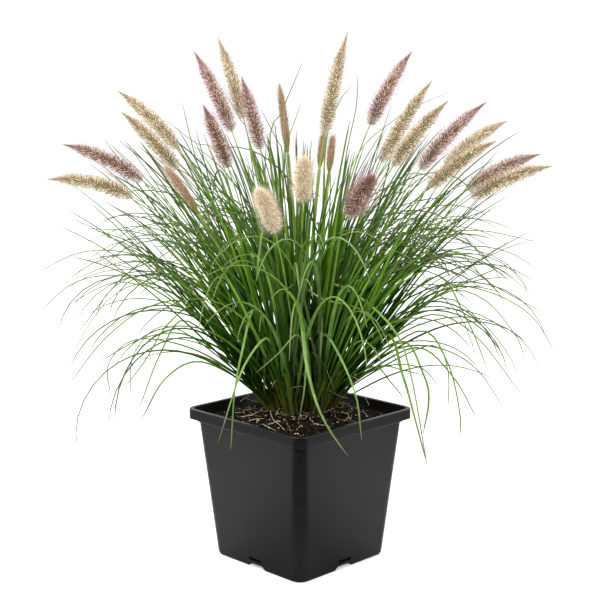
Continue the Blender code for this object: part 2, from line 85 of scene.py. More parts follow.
POT_LOW, POT_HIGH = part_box("pot")
POT_HEIGHT = POT_HIGH.z
RIM_HALF = POT_HIGH.x
BODY_TOP_HALF = RIM_HALF - 10 * MM
BASE_HALF = 85 * MM
WALL = 2.5 * MM
FLOOR = 3 * MM
GAP = 0.3 * MM
CORNER_RADIUS = 16 * MM
BOTTOM_RADIUS = 5.5 * MM
SHOULDER_HEIGHT = 191 * MM
SHOULDER_STEP = 3 * MM
BAND_HEIGHT = 14 * MM
LIP_THICKNESS = 2.2 * MM
RIM_TOP_WIDTH = 7 * MM
RECESS_WIDTH = 30 * MM
RECESS_FLARE = 4 * MM
RECESS_HEIGHT = 6 * MM
RECESS_DEPTH = 40 * MM
SLOT_WIDTH = 24 * MM
SLOT_BOTTOM = 10 * MM
SLOT_HEIGHT = 4.5 * MM
MIX_EDGE_HEIGHT = 196 * MM
MIX_CROWN_HEIGHT = 207 * MM
ROOT_DEPTH = 8 * MM
COLLAR_HEIGHT = 4 * MM

# The crown's middle, (across, toward): across runs to the right and toward runs out of the
# pot's front corner, for someone who faces that corner.
CROWN = (0 * MM, -15 * MM)
INNER_RING_REACH = 25 * MM

# Flowering stems, one row each: the plume's tip (across, toward, height) and length in mm,
# how far the stem bends over in degrees, and the plume's kind.
PLUMES = (
    (-325, 70, 530, 112, 75, "tan"),
    (-320, -20, 570, 117, 60, "purple"),
    (-255, -100, 640, 119, 45, "tan"),
    (-235, 20, 615, 105, 35, "tan"),
    (-170, 110, 550, 80, 20, "bud"),
    (-150, -130, 695, 130, 30, "purple"),
    (-125, 50, 625, 90, 15, "purple"),
    (-120, -200, 715, 134, 25, "tan"),
    (-80, -60, 660, 102, 15, "purple"),
    (-30, -160, 650, 108, 15, "bud"),
    (65, -60, 720, 142, 20, "tan"),
    (35, -200, 575, 60, 20, "bud"),
    (50, -250, 570, 65, 5, "bud"),
    (160, -150, 695, 130, 40, "purple"),
    (180, -50, 655, 130, 30, "tan"),
    (190, 60, 630, 112, 40, "tan"),
    (260, -90, 625, 134, 40, "purple"),
    (305, -190, 595, 127, 50, "tan"),
    (250, 80, 580, 107, 50, "tan"),
    (330, -50, 555, 112, 55, "purple"),
    (330, 40, 545, 113, 60, "tan"),
    (-50, 250, 535, 105, 45, "pale"),
    (5, 215, 570, 98, 50, "pale"),
    (90, 190, 545, 88, 45, "purple"),
)
PLUME_RADIUS = {"tan": 9.5 * MM, "purple": 9.5 * MM, "pale": 12 * MM, "bud": 5.2 * MM}
# Along a plume: share of its length, and share of its full radius there.
PLUME_OUTLINE = ((0, 0.8), (0.06, 1), (0.35, 1), (0.68, 0.78), (0.88, 0.36), (1, 0.06))
# The plumes that point at the viewer end bluntly: their numbers, and their girth to the usual.
BLUNT_PLUMES = {22: 1.0, 23: 1.0, 24: 1.25}
BLUNT_OUTLINE = ((0, 0.8), (0.06, 1), (0.6, 1), (0.85, 0.8), (1, 0.38))
BLUNT_LENGTH = 0.92

# The view from the front: the camera's distance from the pot's axis and its height, how far it
# looks down, its lens and sensor in mm, and the width of its square frame in pixels.
VIEW_DISTANCE = 1.78
VIEW_HEIGHT = 0.669
VIEW_PITCH = math.radians(9.83)
VIEW_LENS = 79.7
VIEW_SENSOR = 36
VIEW_FRAME = 600

# Broad blades that arch over in front of the others, one row each: the width in mm, and the
# route's points after the root, (across, toward, height) in mm.
FRONT_BLADES = (
    (6.0, ((-8, 30, 300), (0, 68, 356), (8, 112, 300), (20, 138, 256), (36, 150, 223), (60, 163, 190))),
    (4.4, ((-6, 20, 290), (2, 52, 352), (8, 84, 310), (6, 96, 262), (-2, 98, 215))),
    (5.2, ((22, 25, 300), (29, 62, 355), (28, 88, 330), (26, 98, 300))),
    (5.4, ((24, 30, 290), (33, 72, 329), (55, 105, 300), (73, 128, 255), (79, 142, 203))),
    (5.4, ((18, 20, 330), (37, 52, 390), (75, 92, 383), (119, 125, 346), (139, 150, 297), (160, 172, 180))),
    (4.0, ((-30, 20, 350), (-5, 55, 393), (28, 82, 377), (66, 100, 371), (97, 120, 355), (128, 140, 294))),
    (5.0, ((-42, 40, 320), (-60, 86, 367), (-75, 118, 314), (-84, 132, 265), (-89, 140, 190))),
    (5.0, ((-28, 40, 290), (-44, 94, 328), (-68, 125, 305), (-84, 138, 268), (-104, 146, 203))),
    (4.0, ((-50, 20, 330), (-72, 82, 373), (-88, 100, 366), (-102, 112, 352))),
    (4.2, ((6, 30, 290), (-4, 86, 331), (-28, 112, 311), (-57, 127, 288))),
)

# Blades that stand clear of the clump, one row each: the width in mm, how far toward the
# viewer the tip is in mm, and places in the front view that the blade passes, in pixels from
# its top left corner, the tip last.
CLEAR_BLADES = (
    (4.6, 30, ((174, 274), (131, 253), (81, 252), (34, 274))),
    (4.6, 60, ((183, 299), (124, 276), (75, 282), (37, 314))),
    (4.1, -40, ((172, 274), (127, 261), (71, 280))),
    (4.1, 20, ((183, 299), (131, 283), (107, 284), (66, 306))),
    (5.0, 90, ((196, 306), (152, 305), (106, 337), (66, 388))),
    (4.8, 70, ((192, 336), (145, 337), (97, 363))),
    (5.0, 100, ((203, 306), (169, 322), (145, 360), (124, 388))),
    (3.8, 10, ((165, 288), (111, 297), (64, 366))),
    (3.8, -60, ((168, 262), (124, 276), (73, 339))),
    (4.1, 50, ((192, 348), (136, 339), (108, 364), (111, 398))),
    (5.0, 120, ((200, 361), (165, 378), (141, 420))),
    (4.8, 110, ((186, 320), (160, 353), (138, 411))),
    (3.8, 60, ((170, 326), (134, 353), (130, 400))),
    (4.3, 20, ((200, 355), (157, 353), (132, 366))),
    (4.1, -50, ((183, 258), (142, 233), (84, 228))),
    (4.3, -20, ((183, 281), (131, 246), (97, 233))),
    (3.8, -120, ((190, 250), (138, 226), (82, 243))),
    (4.6, 40, ((427, 292), (477, 288), (530, 314), (559, 360))),
    (4.6, 0, ((445, 252), (490, 283), (548, 315))),
    (4.3, -60, ((418, 247), (472, 230), (540, 242))),
    (5.0, -20, ((411, 305), (463, 282), (513, 262))),
    (4.6, 70, ((436, 296), (481, 297), (517, 337), (525, 362))),
    (4.8, 90, ((422, 316), (472, 332), (526, 400))),
    (4.6, 30, ((436, 299), (481, 321), (512, 360), (517, 382))),
    (4.8, 80, ((432, 276), (466, 317), (490, 375))),
    (4.1, -40, ((445, 238), (490, 263), (535, 295))),
    (5.8, 150, ((387, 333), (403, 374), (413, 409), (427, 463))),
    (5.5, 110, ((401, 340), (424, 374), (429, 400), (423, 434))),
    (5.0, 90, ((420, 330), (448, 362), (460, 411), (460, 437))),
    (5.0, 60, ((416, 347), (453, 376), (478, 420))),
    (4.8, 30, ((395, 349), (437, 347), (476, 368), (507, 413))),
    (4.6, 70, ((384, 366), (420, 367), (439, 386))),
    (5.5, -30, ((378, 366), (404, 370), (424, 375))),
    (4.6, 60, ((374, 366), (392, 383), (404, 398))),
    (4.1, 40, ((430, 345), (448, 369), (448, 415))),
    (3.2, -90, ((270, 146), (281, 113), (303, 61))),
    (3.0, -60, ((283, 164), (292, 129), (302, 100))),
    (3.2, -110, ((343, 173), (356, 106), (357, 73))),
    (3.0, -150, ((325, 151), (338, 104), (352, 85))),
    (3.2, -90, ((349, 173), (398, 117), (451, 91))),
    (3.2, -100, ((250, 146), (239, 117), (225, 92))),
    (3.0, -120, ((201, 173), (190, 135), (182, 101))),
    (3.0, -70, ((283, 164), (274, 135), (261, 109))),
    (3.2, -60, ((223, 164), (194, 142), (167, 121))),
    (3.0, -80, ((374, 164), (383, 129), (391, 106))),
)

# Kinds of blades on a shoot: the least and most that they lean away from it in degrees, their
# least and most bend, and their least, greatest and usual length in mm.
BLADE_KINDS = (
    (0, 6, (8, 34), (200, 460, 380)),
    (2, 14, (45, 108), (240, 430, 330)),
    (10, 36, (55, 115), (210, 410, 320)),
    (8, 30, (100, 150), (350, 480, 420)),
    (8, 30, (12, 45), (300, 480, 400)),
)
# How often a shoot grows each kind, in the middle of the clump and round it.
INNER_SHARES = (54, 14, 10, 0, 22)
OUTER_SHARES = (28, 6, 10, 36, 24)
# Along a blade: share of its length, and share of its full width there.
BLADE_OUTLINE = ((0, 0.5), (0.12, 0.82), (0.34, 1), (0.6, 0.74), (0.85, 0.52), (0.95, 0.4), (1, 0.12))
# Where a grown blade may go: it is tried again if it leaves these heights or this reach, or
# stands this near to the sight line to a plume.
HIGHEST_TIP = 600 * MM
LOWEST_TIP = 150 * MM
GREATEST_REACH = 335 * MM
PLUME_CLEARANCE = 10 * MM
TRIES = 14
# Further toward the viewer than this, and no further to the side, a blade stays over one
# height where the crown is behind it and over another where the rim is.
FRONT_START = 60 * MM
FRONT_HALF_WIDTH = 170 * MM
CROWN_HALF_WIDTH = 90 * MM
OVER_CROWN_HEIGHT = 290 * MM
OVER_RIM_HEIGHT = 225 * MM
# Blades in front take the waxy bloom colour, partly painted light, and blades round the clump have dull tips,
# painted shade: the bloom begins this far toward the viewer and is full after the next length, and ends this
# far to the side after fading over the last length.
LIT_FRONT_START = 55 * MM
LIT_FRONT_RISE = 105 * MM
LIT_FRONT_SIDE = 210 * MM
LIT_FRONT_FADE = 110 * MM
# The ring on which the outer tufts stand, round the crown.
OUTER_RING_REACH = 38 * MM
# A tuft's foot is further in from the wall than this, and a blade that is nearer passes over
# the rim.
WALL_ZONE = 30 * MM

# Dry strands among the shoots, one row each: how far toward the viewer, and places in the
# front view that the strand passes, in pixels.
DRY_STRANDS = (
    (45, ((288, 381), (292, 377), (297, 374), (303, 375))),
    (48, ((272, 388), (274, 382), (278, 380), (285, 379))),
    (46, ((287, 390), (295, 387), (303, 386))),
    (52, ((281, 335), (285, 332), (289, 334), (292, 339))),
    (58, ((312, 352), (319, 357), (325, 366), (330, 378), (334, 389))),
    (40, ((318, 386), (327, 389), (340, 396), (348, 398))),
    (38, ((286, 354), (290, 359), (294, 368))),
    (30, ((345, 374), (356, 378), (363, 386), (365, 396), (369, 405))),
    (20, ((348, 384), (360, 383), (372, 390))),
    (-5, ((245, 398), (251, 400), (258, 402))),
    (-10, ((240, 402), (244, 398), (250, 396))),
)

# Roots that lie on the mix, one row each: the places in the front view that the root passes,
# in pixels.
BARE_ROOTS = (
    ((249, 421), (257, 421), (264, 419)),
    ((257, 421), (257, 425), (255, 429)),
    ((275, 401), (271, 409), (271, 416), (274, 422), (280, 427), (286, 431)),
    ((240, 417), (250, 417), (256, 414), (265, 408)),
    ((276, 415), (279, 410), (284, 406)),
    ((287, 424), (290, 430), (294, 432)),
    ((323, 403), (329, 406), (335, 412), (336, 414)),
    ((324, 409), (329, 412), (332, 416)),
    ((343, 404), (350, 407), (352, 410), (351, 418)),
    ((341, 412), (348, 415), (348, 419), (343, 422)),
    ((302, 412), (306, 415), (310, 414), (314, 411)),
    ((297, 430), (301, 427), (303, 428)),
    ((360, 412), (365, 414), (368, 419)),
    ((262, 424), (268, 428), (276, 430)),
    ((233, 412), (238, 414), (245, 412)),
)

# ---------------------------------------------------------------- small helpers


def place(across, toward, height=0.0):
    """The point of the pot's frame that the view from its front corner names."""
    return Vector(((across + toward) * math.sqrt(0.5), (across - toward) * math.sqrt(0.5), height))


def seen_sideways(points):
    """How far points lie across and toward the viewer, the other way round from place."""
    x, y = points[..., 0], points[..., 1]
    return (x + y) / math.sqrt(2), (x - y) / math.sqrt(2)


def seen_along(column, row):
    """The camera's place, and the way it looks through a place of its frame."""
    right = (column / VIEW_FRAME - 0.5) * VIEW_SENSOR / VIEW_LENS
    up = (0.5 - row / VIEW_FRAME) * VIEW_SENSOR / VIEW_LENS
    toward = -math.cos(VIEW_PITCH) - up * math.sin(VIEW_PITCH)
    rise = up * math.cos(VIEW_PITCH) - math.sin(VIEW_PITCH)
    return place(0, VIEW_DISTANCE, VIEW_HEIGHT), place(right, toward, rise) / -toward


def seen_at(column, row, toward):
    """The point that the front view shows there, at a distance toward the viewer."""
    camera, way = seen_along(column, row)
    return camera + way * (VIEW_DISTANCE - toward)


def seen_on_mix(column, row):
    """The point of the potting mix that the front view shows there."""
    camera, way = seen_along(column, row)
    height = MIX_CROWN_HEIGHT
    for _ in range(5):
        spot = camera + way * (height - VIEW_HEIGHT) / way.z
        height = ground_height(spot.x, spot.y)
    return Vector((spot.x, spot.y, height))


def level_heading(angle):
    return Vector((math.cos(angle), math.sin(angle), 0))


def mix(low, high, share):
    return low + (high - low) * share


def new_object(name, mesh):
    thing = bpy.data.objects.new(name, mesh)
    bpy.context.scene.collection.objects.link(thing)
    return thing


def mesh_from(bm, name):
    mesh = bpy.data.meshes.new(name)
    bm.to_mesh(mesh)
    bm.free()
    return mesh


def settle(piece, slot, *nodes):
    """Fixes a finished piece to the frame and hides the solids it stands for; slot is not used."""
    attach(piece, "root")
    if nodes:
        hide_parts(*nodes)
    return piece


def foot_of(node):
    """Middle of the lowest ring of a solid that stands in the potting mix."""
    spots = np.array([vert.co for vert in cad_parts[node].data.vertices])
    spots = spots[np.abs(spots[:, :2]).max(axis=1) < BODY_TOP_HALF - WALL_ZONE]
    lowest = spots[spots[:, 2] < spots[:, 2].min() + 0.1 * MM]
    return Vector(lowest.mean(axis=0))


def evaluated_mesh(thing, name):
    """Plain mesh of an object as its modifiers shape it. The object is removed."""
    mesh = bpy.data.meshes.new_from_object(thing.evaluated_get(bpy.context.evaluated_depsgraph_get()))
    mesh.name = name
    source = thing.data
    bpy.data.objects.remove(thing)
    bpy.data.meshes.remove(source)
    return mesh


# ---------------------------------------------------------------- node trees


def add_node(tree, kind, inputs=(), **settings):
    """Adds a node, sets its properties, then gives its inputs their links or values."""
    node = tree.nodes.new(kind)
    for key, value in settings.items():
        setattr(node, key, value)
    for key, value in dict(inputs).items():
        if isinstance(value, bpy.types.NodeSocket):
            tree.links.new(value, node.inputs[key])
        else:
            node.inputs[key].default_value = value
    return node


def arithmetic(tree, operation, *values, clamp=False):
    node = add_node(tree, "ShaderNodeMath", dict(enumerate(values)), operation=operation, use_clamp=clamp)
    return node.outputs[0]


def attribute(tree, name, kind="FLOAT"):
    """A named attribute, read inside a geometry node tree."""
    node = add_node(tree, "GeometryNodeInputNamedAttribute", {"Name": name}, data_type=kind)
    return node.outputs["Attribute"]


def store(tree, geometry, name, value, domain="POINT"):
    return add_node(
        tree,
        "GeometryNodeStoreNamedAttribute",
        {"Geometry": geometry, "Name": name, "Value": value},
        data_type="FLOAT",
        domain=domain,
    ).outputs["Geometry"]


def random_value(tree, low, high, seed):
    """A random number for each element, from a fixed seed."""
    node = add_node(tree, "FunctionNodeRandomValue", data_type="FLOAT")
    for socket, value in ((node.inputs[2], low), (node.inputs[3], high), (node.inputs["Seed"], seed)):
        if isinstance(value, bpy.types.NodeSocket):
            tree.links.new(value, socket)
        else:
            socket.default_value = value
    return node.outputs[1]


def new_geometry_tree(name, inputs):
    """A geometry node tree with named inputs. Returns it and its input node's outputs."""
    tree = bpy.data.node_groups.new(name, "GeometryNodeTree")
    tree.is_modifier = True
    tree.interface.new_socket("Geometry", in_out="OUTPUT", socket_type="NodeSocketGeometry")
    tree.interface.new_socket("Geometry", in_out="INPUT", socket_type="NodeSocketGeometry")
    for label, kind, default in inputs:
        socket = tree.interface.new_socket(label, in_out="INPUT", socket_type="NodeSocket" + kind)
        if default is not None:
            socket.default_value = default
    return tree, tree.nodes.new("NodeGroupInput").outputs


def end_geometry_tree(tree, geometry, material):
    """Every tree ends the same way: its instances made real, shaded smooth, with their material."""
    real = add_node(tree, "GeometryNodeRealizeInstances", {"Geometry": geometry})
    smooth = add_node(tree, "GeometryNodeSetShadeSmooth", {"Geometry": real.outputs[0]})
    coated = add_node(tree, "GeometryNodeSetMaterial", {"Geometry": smooth.outputs[0], "Material": material})
    add_node(tree, "NodeGroupOutput", {"Geometry": coated.outputs[0]})


def grow(source, tree, name, **inputs):
    """Runs a geometry node tree over a source object and returns its result as a plain mesh."""
    modifier = source.modifiers.new(tree.name, "NODES")
    modifier.node_group = tree
    for item in tree.interface.items_tree:
        key = item.name.lower().replace(" ", "_")
        if item.item_type == "SOCKET" and item.in_out == "INPUT" and key in inputs:
            modifier[item.identifier] = inputs.pop(key)
    if inputs:
        raise RuntimeError(f"{tree.name} has no input for {sorted(inputs)}")
    source.update_tag()
    bpy.context.view_layer.update()
    mesh = evaluated_mesh(source, name)
    coat = [material for material in mesh.materials if material]
    mesh.materials.clear()
    mesh.materials.append(coat[0])
    if "material_index" in mesh.attributes:
        mesh.attributes.remove(mesh.attributes["material_index"])
    return mesh


def lines_object(name, routes, attributes):
    """A mesh of open lines, with a number at each point for every named attribute."""
    points, edges = [], []
    for route in routes:
        first = len(points)
        points.extend(tuple(point) for point in route)
        edges.extend((first + i, first + i + 1) for i in range(len(route) - 1))
    mesh = bpy.data.meshes.new(name)
    mesh.from_pydata(points, edges, [])
    for label, values in attributes.items():
        flat = np.concatenate([np.asarray(row, np.float32) for row in values])
        if flat.ndim == 2:
            mesh.attributes.new(label, "FLOAT_VECTOR", "POINT").data.foreach_set("vector", flat.ravel())
        else:
            mesh.attributes.new(label, "FLOAT", "POINT").data.foreach_set("value", flat)
    return new_object(name, mesh)


def swept_mesh(tree, curve, section, scale):
    """The closed surface that a section leaves along a curve."""
    inputs = {"Curve": curve, "Profile Curve": section, "Scale": scale, "Fill Caps": True}
    return add_node(tree, "GeometryNodeCurveToMesh", inputs).outputs[0]


def blade_tree():
    """Grass blades: each line becomes a long leaf with a folded midrib and thin edges."""
    tree, given = new_geometry_tree(
        "Grass Blades",
        (("Fold", "Float", 0.34), ("Thickness", "Float", 0.22), ("Material", "Material", None)),
    )
    curve = add_node(tree, "GeometryNodeMeshToCurve", {"Mesh": given["Geometry"]}).outputs[0]
    side = {"Curve": curve, "Normal": attribute(tree, "side", "FLOAT_VECTOR")}
    curve = add_node(tree, "GeometryNodeSetCurveNormal", side, mode="FREE").outputs[0]
    turn = {"Curve": curve, "Tilt": attribute(tree, "turn")}
    curve = add_node(tree, "GeometryNodeSetCurveTilt", turn).outputs[0]
    keel = arithmetic(tree, "MULTIPLY", given["Thickness"], -1.0)
    corners = (
        add_node(tree, "ShaderNodeCombineXYZ", {"X": -1.0, "Y": given["Fold"]}),
        add_node(tree, "ShaderNodeCombineXYZ", {"Y": keel}),
        add_node(tree, "ShaderNodeCombineXYZ", {"X": 1.0, "Y": given["Fold"]}),
        add_node(tree, "ShaderNodeCombineXYZ", {"Y": 0.0}),
    )
    points = {f"Point {number}": corner.outputs[0] for number, corner in enumerate(corners, 1)}
    section = add_node(tree, "GeometryNodeCurvePrimitiveQuadrilateral", points, mode="POINTS").outputs[0]
    position = add_node(tree, "GeometryNodeInputPosition").outputs[0]
    across = add_node(tree, "ShaderNodeSeparateXYZ", {"Vector": position}).outputs["X"]
    section = store(tree, section, "across", across)
    blades = swept_mesh(tree, curve, section, attribute(tree, "half_width"))
    end_geometry_tree(tree, blades, given["Material"])
    return tree


def stalk_tree():
    """Round stalks: each line becomes a tube, for stems, sheaths and roots."""
    tree, given = new_geometry_tree("Round Stalks", (("Sides", "Int", 8), ("Material", "Material", None)))
    curve = add_node(tree, "GeometryNodeMeshToCurve", {"Mesh": given["Geometry"]}).outputs[0]
    curve = add_node(tree, "GeometryNodeSetCurveNormal", {"Curve": curve}, mode="MINIMUM_TWIST").outputs[0]
    section = add_node(
        tree, "GeometryNodeCurvePrimitiveCircle", {"Resolution": given["Sides"], "Radius": 1.0}
    ).outputs[0]
    stalks = swept_mesh(tree, curve, section, attribute(tree, "half_width"))
    end_geometry_tree(tree, stalks, given["Material"])
    return tree


def bristle_layer(tree, axis, shape, layer):
    """Sets one shape all round a plume's axis, leaning towards its tip.

    The layer says how many there are, in rings of how many, and how far the next one and the
    next ring are turned. It says how far their tips stand out, their leans at the plume's foot
    and tip, where they start, as a share of the girth, and how wide they are.
    """
    seed, ring = layer["seed"], layer["ring"]
    index = add_node(tree, "GeometryNodeInputIndex").outputs[0]
    ring_number = arithmetic(tree, "FLOOR", arithmetic(tree, "DIVIDE", index, ring))
    stray = random_value(tree, -layer["scatter"], layer["scatter"], seed)
    step = arithmetic(tree, "DIVIDE", arithmetic(tree, "ADD", ring_number, stray), layer["rings"])
    along = arithmetic(tree, "MULTIPLY", step, 1.0, clamp=True)
    sample = add_node(
        tree,
        "GeometryNodeSampleCurve",
        {"Curves": axis, "Value": attribute(tree, "girth"), "Factor": along},
        mode="FACTOR",
        data_type="FLOAT",
    ).outputs
    girth = sample["Value"]
    amount = arithmetic(tree, "MULTIPLY", layer["rings"], ring)
    laid = {"Count": amount, "Position": sample["Position"]}
    points = add_node(tree, "GeometryNodePoints", laid).outputs[0]
    points = store(tree, points, "along", along)
    points = store(tree, points, "fibre", random_value(tree, 0.0, 1.0, arithmetic(tree, "ADD", seed, 3)))

    turn = arithmetic(tree, "MULTIPLY", index, layer["turn"])
    turn = arithmetic(tree, "MULTIPLY_ADD", ring_number, layer["ring_turn"], turn)
    turn = arithmetic(tree, "ADD", turn, random_value(tree, -0.12, 0.12, arithmetic(tree, "ADD", seed, 4)))
    lean = mapped_field(tree, along, 0.3, 1.0, layer["foot_lean"], layer["tip_lean"])
    looseness = layer["looseness"]
    loose = random_value(tree, 1 - looseness, 1 + looseness, arithmetic(tree, "ADD", seed, 1))
    lean = arithmetic(tree, "MULTIPLY", lean, loose)
    axes = {"Primary Axis": sample["Tangent"], "Secondary Axis": sample["Normal"]}
    rotation = add_node(
        tree, "FunctionNodeAxesToRotation", axes, primary_axis="Z", secondary_axis="X"
    ).outputs[0]
    turned = turned_by(tree, rotation, (0, 0, 1), turn)
    rotation = turned_by(tree, turned, (0, 1, 0), lean)
    aside = add_node(tree, "FunctionNodeRotateVector", {"Vector": (1, 0, 0), "Rotation": turned}).outputs[0]
    start = arithmetic(tree, "MULTIPLY", girth, layer["offset"])
    start = arithmetic(tree, "MULTIPLY", start, mapped_field(tree, along, 0.0, 0.15, 0.4, 1.0))
    shift = add_node(tree, "ShaderNodeVectorMath", {0: aside, "Scale": start}, operation="SCALE").outputs[0]
    points = add_node(tree, "GeometryNodeSetPosition", {"Geometry": points, "Offset": shift}).outputs[0]

    length = arithmetic(tree, "MULTIPLY", girth, layer["reach"])
    length = arithmetic(tree, "DIVIDE", length, arithmetic(tree, "SINE", lean))
    uneven = random_value(tree, 0.8, 1.2, arithmetic(tree, "ADD", seed, 2))
    length = arithmetic(tree, "MULTIPLY", length, uneven)
    length = arithmetic(tree, "MULTIPLY", length, mapped_field(tree, along, 0.7, 1.0, 1.0, 0.5))
    width = arithmetic(tree, "MULTIPLY", layer["width"], mapped_field(tree, along, 0.6, 1.0, 1.0, 0.5))
    width = arithmetic(tree, "MULTIPLY", width, mapped_field(tree, along, 0.0, 0.12, 0.6, 1.0))
    scale = add_node(tree, "ShaderNodeCombineXYZ", {"X": width, "Y": width, "Z": length}).outputs[0]
    inputs = {"Points": points, "Instance": shape, "Rotation": rotation, "Scale": scale}
    placed = add_node(tree, "GeometryNodeInstanceOnPoints", inputs).outputs[0]
    return store(tree, placed, "fuzz", layer["fuzz"], "INSTANCE")


def turned_by(tree, rotation, axis, angle):
    """A rotation, turned further by an angle round one of its own axes."""
    further = add_node(tree, "FunctionNodeAxisAngleToRotation", {"Axis": axis, "Angle": angle}).outputs[0]
    inputs = {"Rotation": rotation, "Rotate By": further}
    return add_node(tree, "FunctionNodeRotateRotation", inputs, rotation_space="LOCAL").outputs[0]


def mapped_field(tree, value, low, high, to_low, to_high):
    """A value's share of the way from low to high, as a number from to_low to to_high."""
    inputs = {"Value": value, "From Min": low, "From Max": high, "To Min": to_low, "To Max": to_high}
    return add_node(tree, "ShaderNodeMapRange", inputs).outputs[0]


def standing_shape(tree, shape):
    """A shape of unit height that stands on its origin, with its height as the attribute reach."""
    position = add_node(tree, "GeometryNodeInputPosition").outputs[0]
    height = add_node(tree, "ShaderNodeSeparateXYZ", {"Vector": position}).outputs["Z"]
    return store(tree, shape, "reach", height)


def plume_tree():
    """Plumes: a core round each axis, rings of pointed spikelets on it, and fine bristles."""
    tree, given = new_geometry_tree(
        "Bottlebrush Plumes",
        (
            ("Rings", "Int", 30),
            ("Foot Lean", "Float", math.radians(80)),
            ("Tip Lean", "Float", math.radians(22)),
            ("Spikelet Width", "Float", 0.7 * MM),
            ("Spikelet Reach", "Float", 0.9),
            ("Bristles", "Int", 1500),
            ("Bristle Width", "Float", 0.12 * MM),
            ("Bristle Reach", "Float", 1.5),
            ("Core", "Float", 0.42),
            ("Seed", "Int", 1),
            ("Material", "Material", None),
        ),
    )
    line = add_node(tree, "GeometryNodeMeshToCurve", {"Mesh": given["Geometry"]}).outputs[0]
    axis = add_node(tree, "GeometryNodeSetCurveNormal", {"Curve": line}, mode="MINIMUM_TWIST").outputs[0]

    grain = add_node(tree, "GeometryNodeMeshUVSphere", {"Segments": 4, "Rings": 4, "Radius": 1.0})
    grain = add_node(
        tree,
        "GeometryNodeTransform",
        {"Geometry": grain.outputs["Mesh"], "Translation": (0, 0, 0.5), "Scale": (1, 1, 0.5)},
    ).outputs[0]
    hair = add_node(
        tree,
        "GeometryNodeMeshCone",
        {"Vertices": 3, "Radius Top": 0.0, "Radius Bottom": 1.0, "Depth": 1.0},
        fill_type="NGON",
    ).outputs["Mesh"]
    spikelets_in_ring = 12
    spikelets = {
        "rings": given["Rings"],
        "ring": spikelets_in_ring,
        "turn": math.tau / spikelets_in_ring,
        "ring_turn": math.pi / spikelets_in_ring,
        "scatter": 0.1,
        "looseness": 0.1,
        "seed": given["Seed"],
        "reach": given["Spikelet Reach"],
        "foot_lean": given["Foot Lean"],
        "tip_lean": given["Tip Lean"],
        "offset": 0.2,
        "width": given["Spikelet Width"],
        "fuzz": 0.0,
    }
    bristles = {
        "rings": given["Bristles"],
        "ring": 1,
        "turn": GOLDEN_ANGLE,
        "ring_turn": 0.0,
        "scatter": 0.5,
        "looseness": 0.3,
        "seed": arithmetic(tree, "ADD", given["Seed"], 10),
        "reach": given["Bristle Reach"],
        "foot_lean": given["Foot Lean"],
        "tip_lean": arithmetic(tree, "MULTIPLY", given["Tip Lean"], 1.3),
        "offset": 0.05,
        "width": given["Bristle Width"],
        "fuzz": 1.0,
    }
    slim_foot = mapped_field(tree, attribute(tree, "along"), 0.0, 0.2, 0.2, 1.0)
    girth = arithmetic(tree, "MULTIPLY", attribute(tree, "girth"), given["Core"])
    girth = arithmetic(tree, "MULTIPLY", girth, slim_foot)
    ring = add_node(tree, "GeometryNodeCurvePrimitiveCircle", {"Resolution": 7, "Radius": 1.0}).outputs[0]
    core = swept_mesh(tree, axis, ring, girth)
    joined_parts = add_node(tree, "GeometryNodeJoinGeometry")
    layers = ((grain, spikelets), (hair, bristles))
    parts = [bristle_layer(tree, axis, standing_shape(tree, shape), layer) for shape, layer in layers]
    for part in (core, *parts):
        tree.links.new(part, joined_parts.inputs[0])
    end_geometry_tree(tree, joined_parts.outputs[0], given["Material"])
    return tree


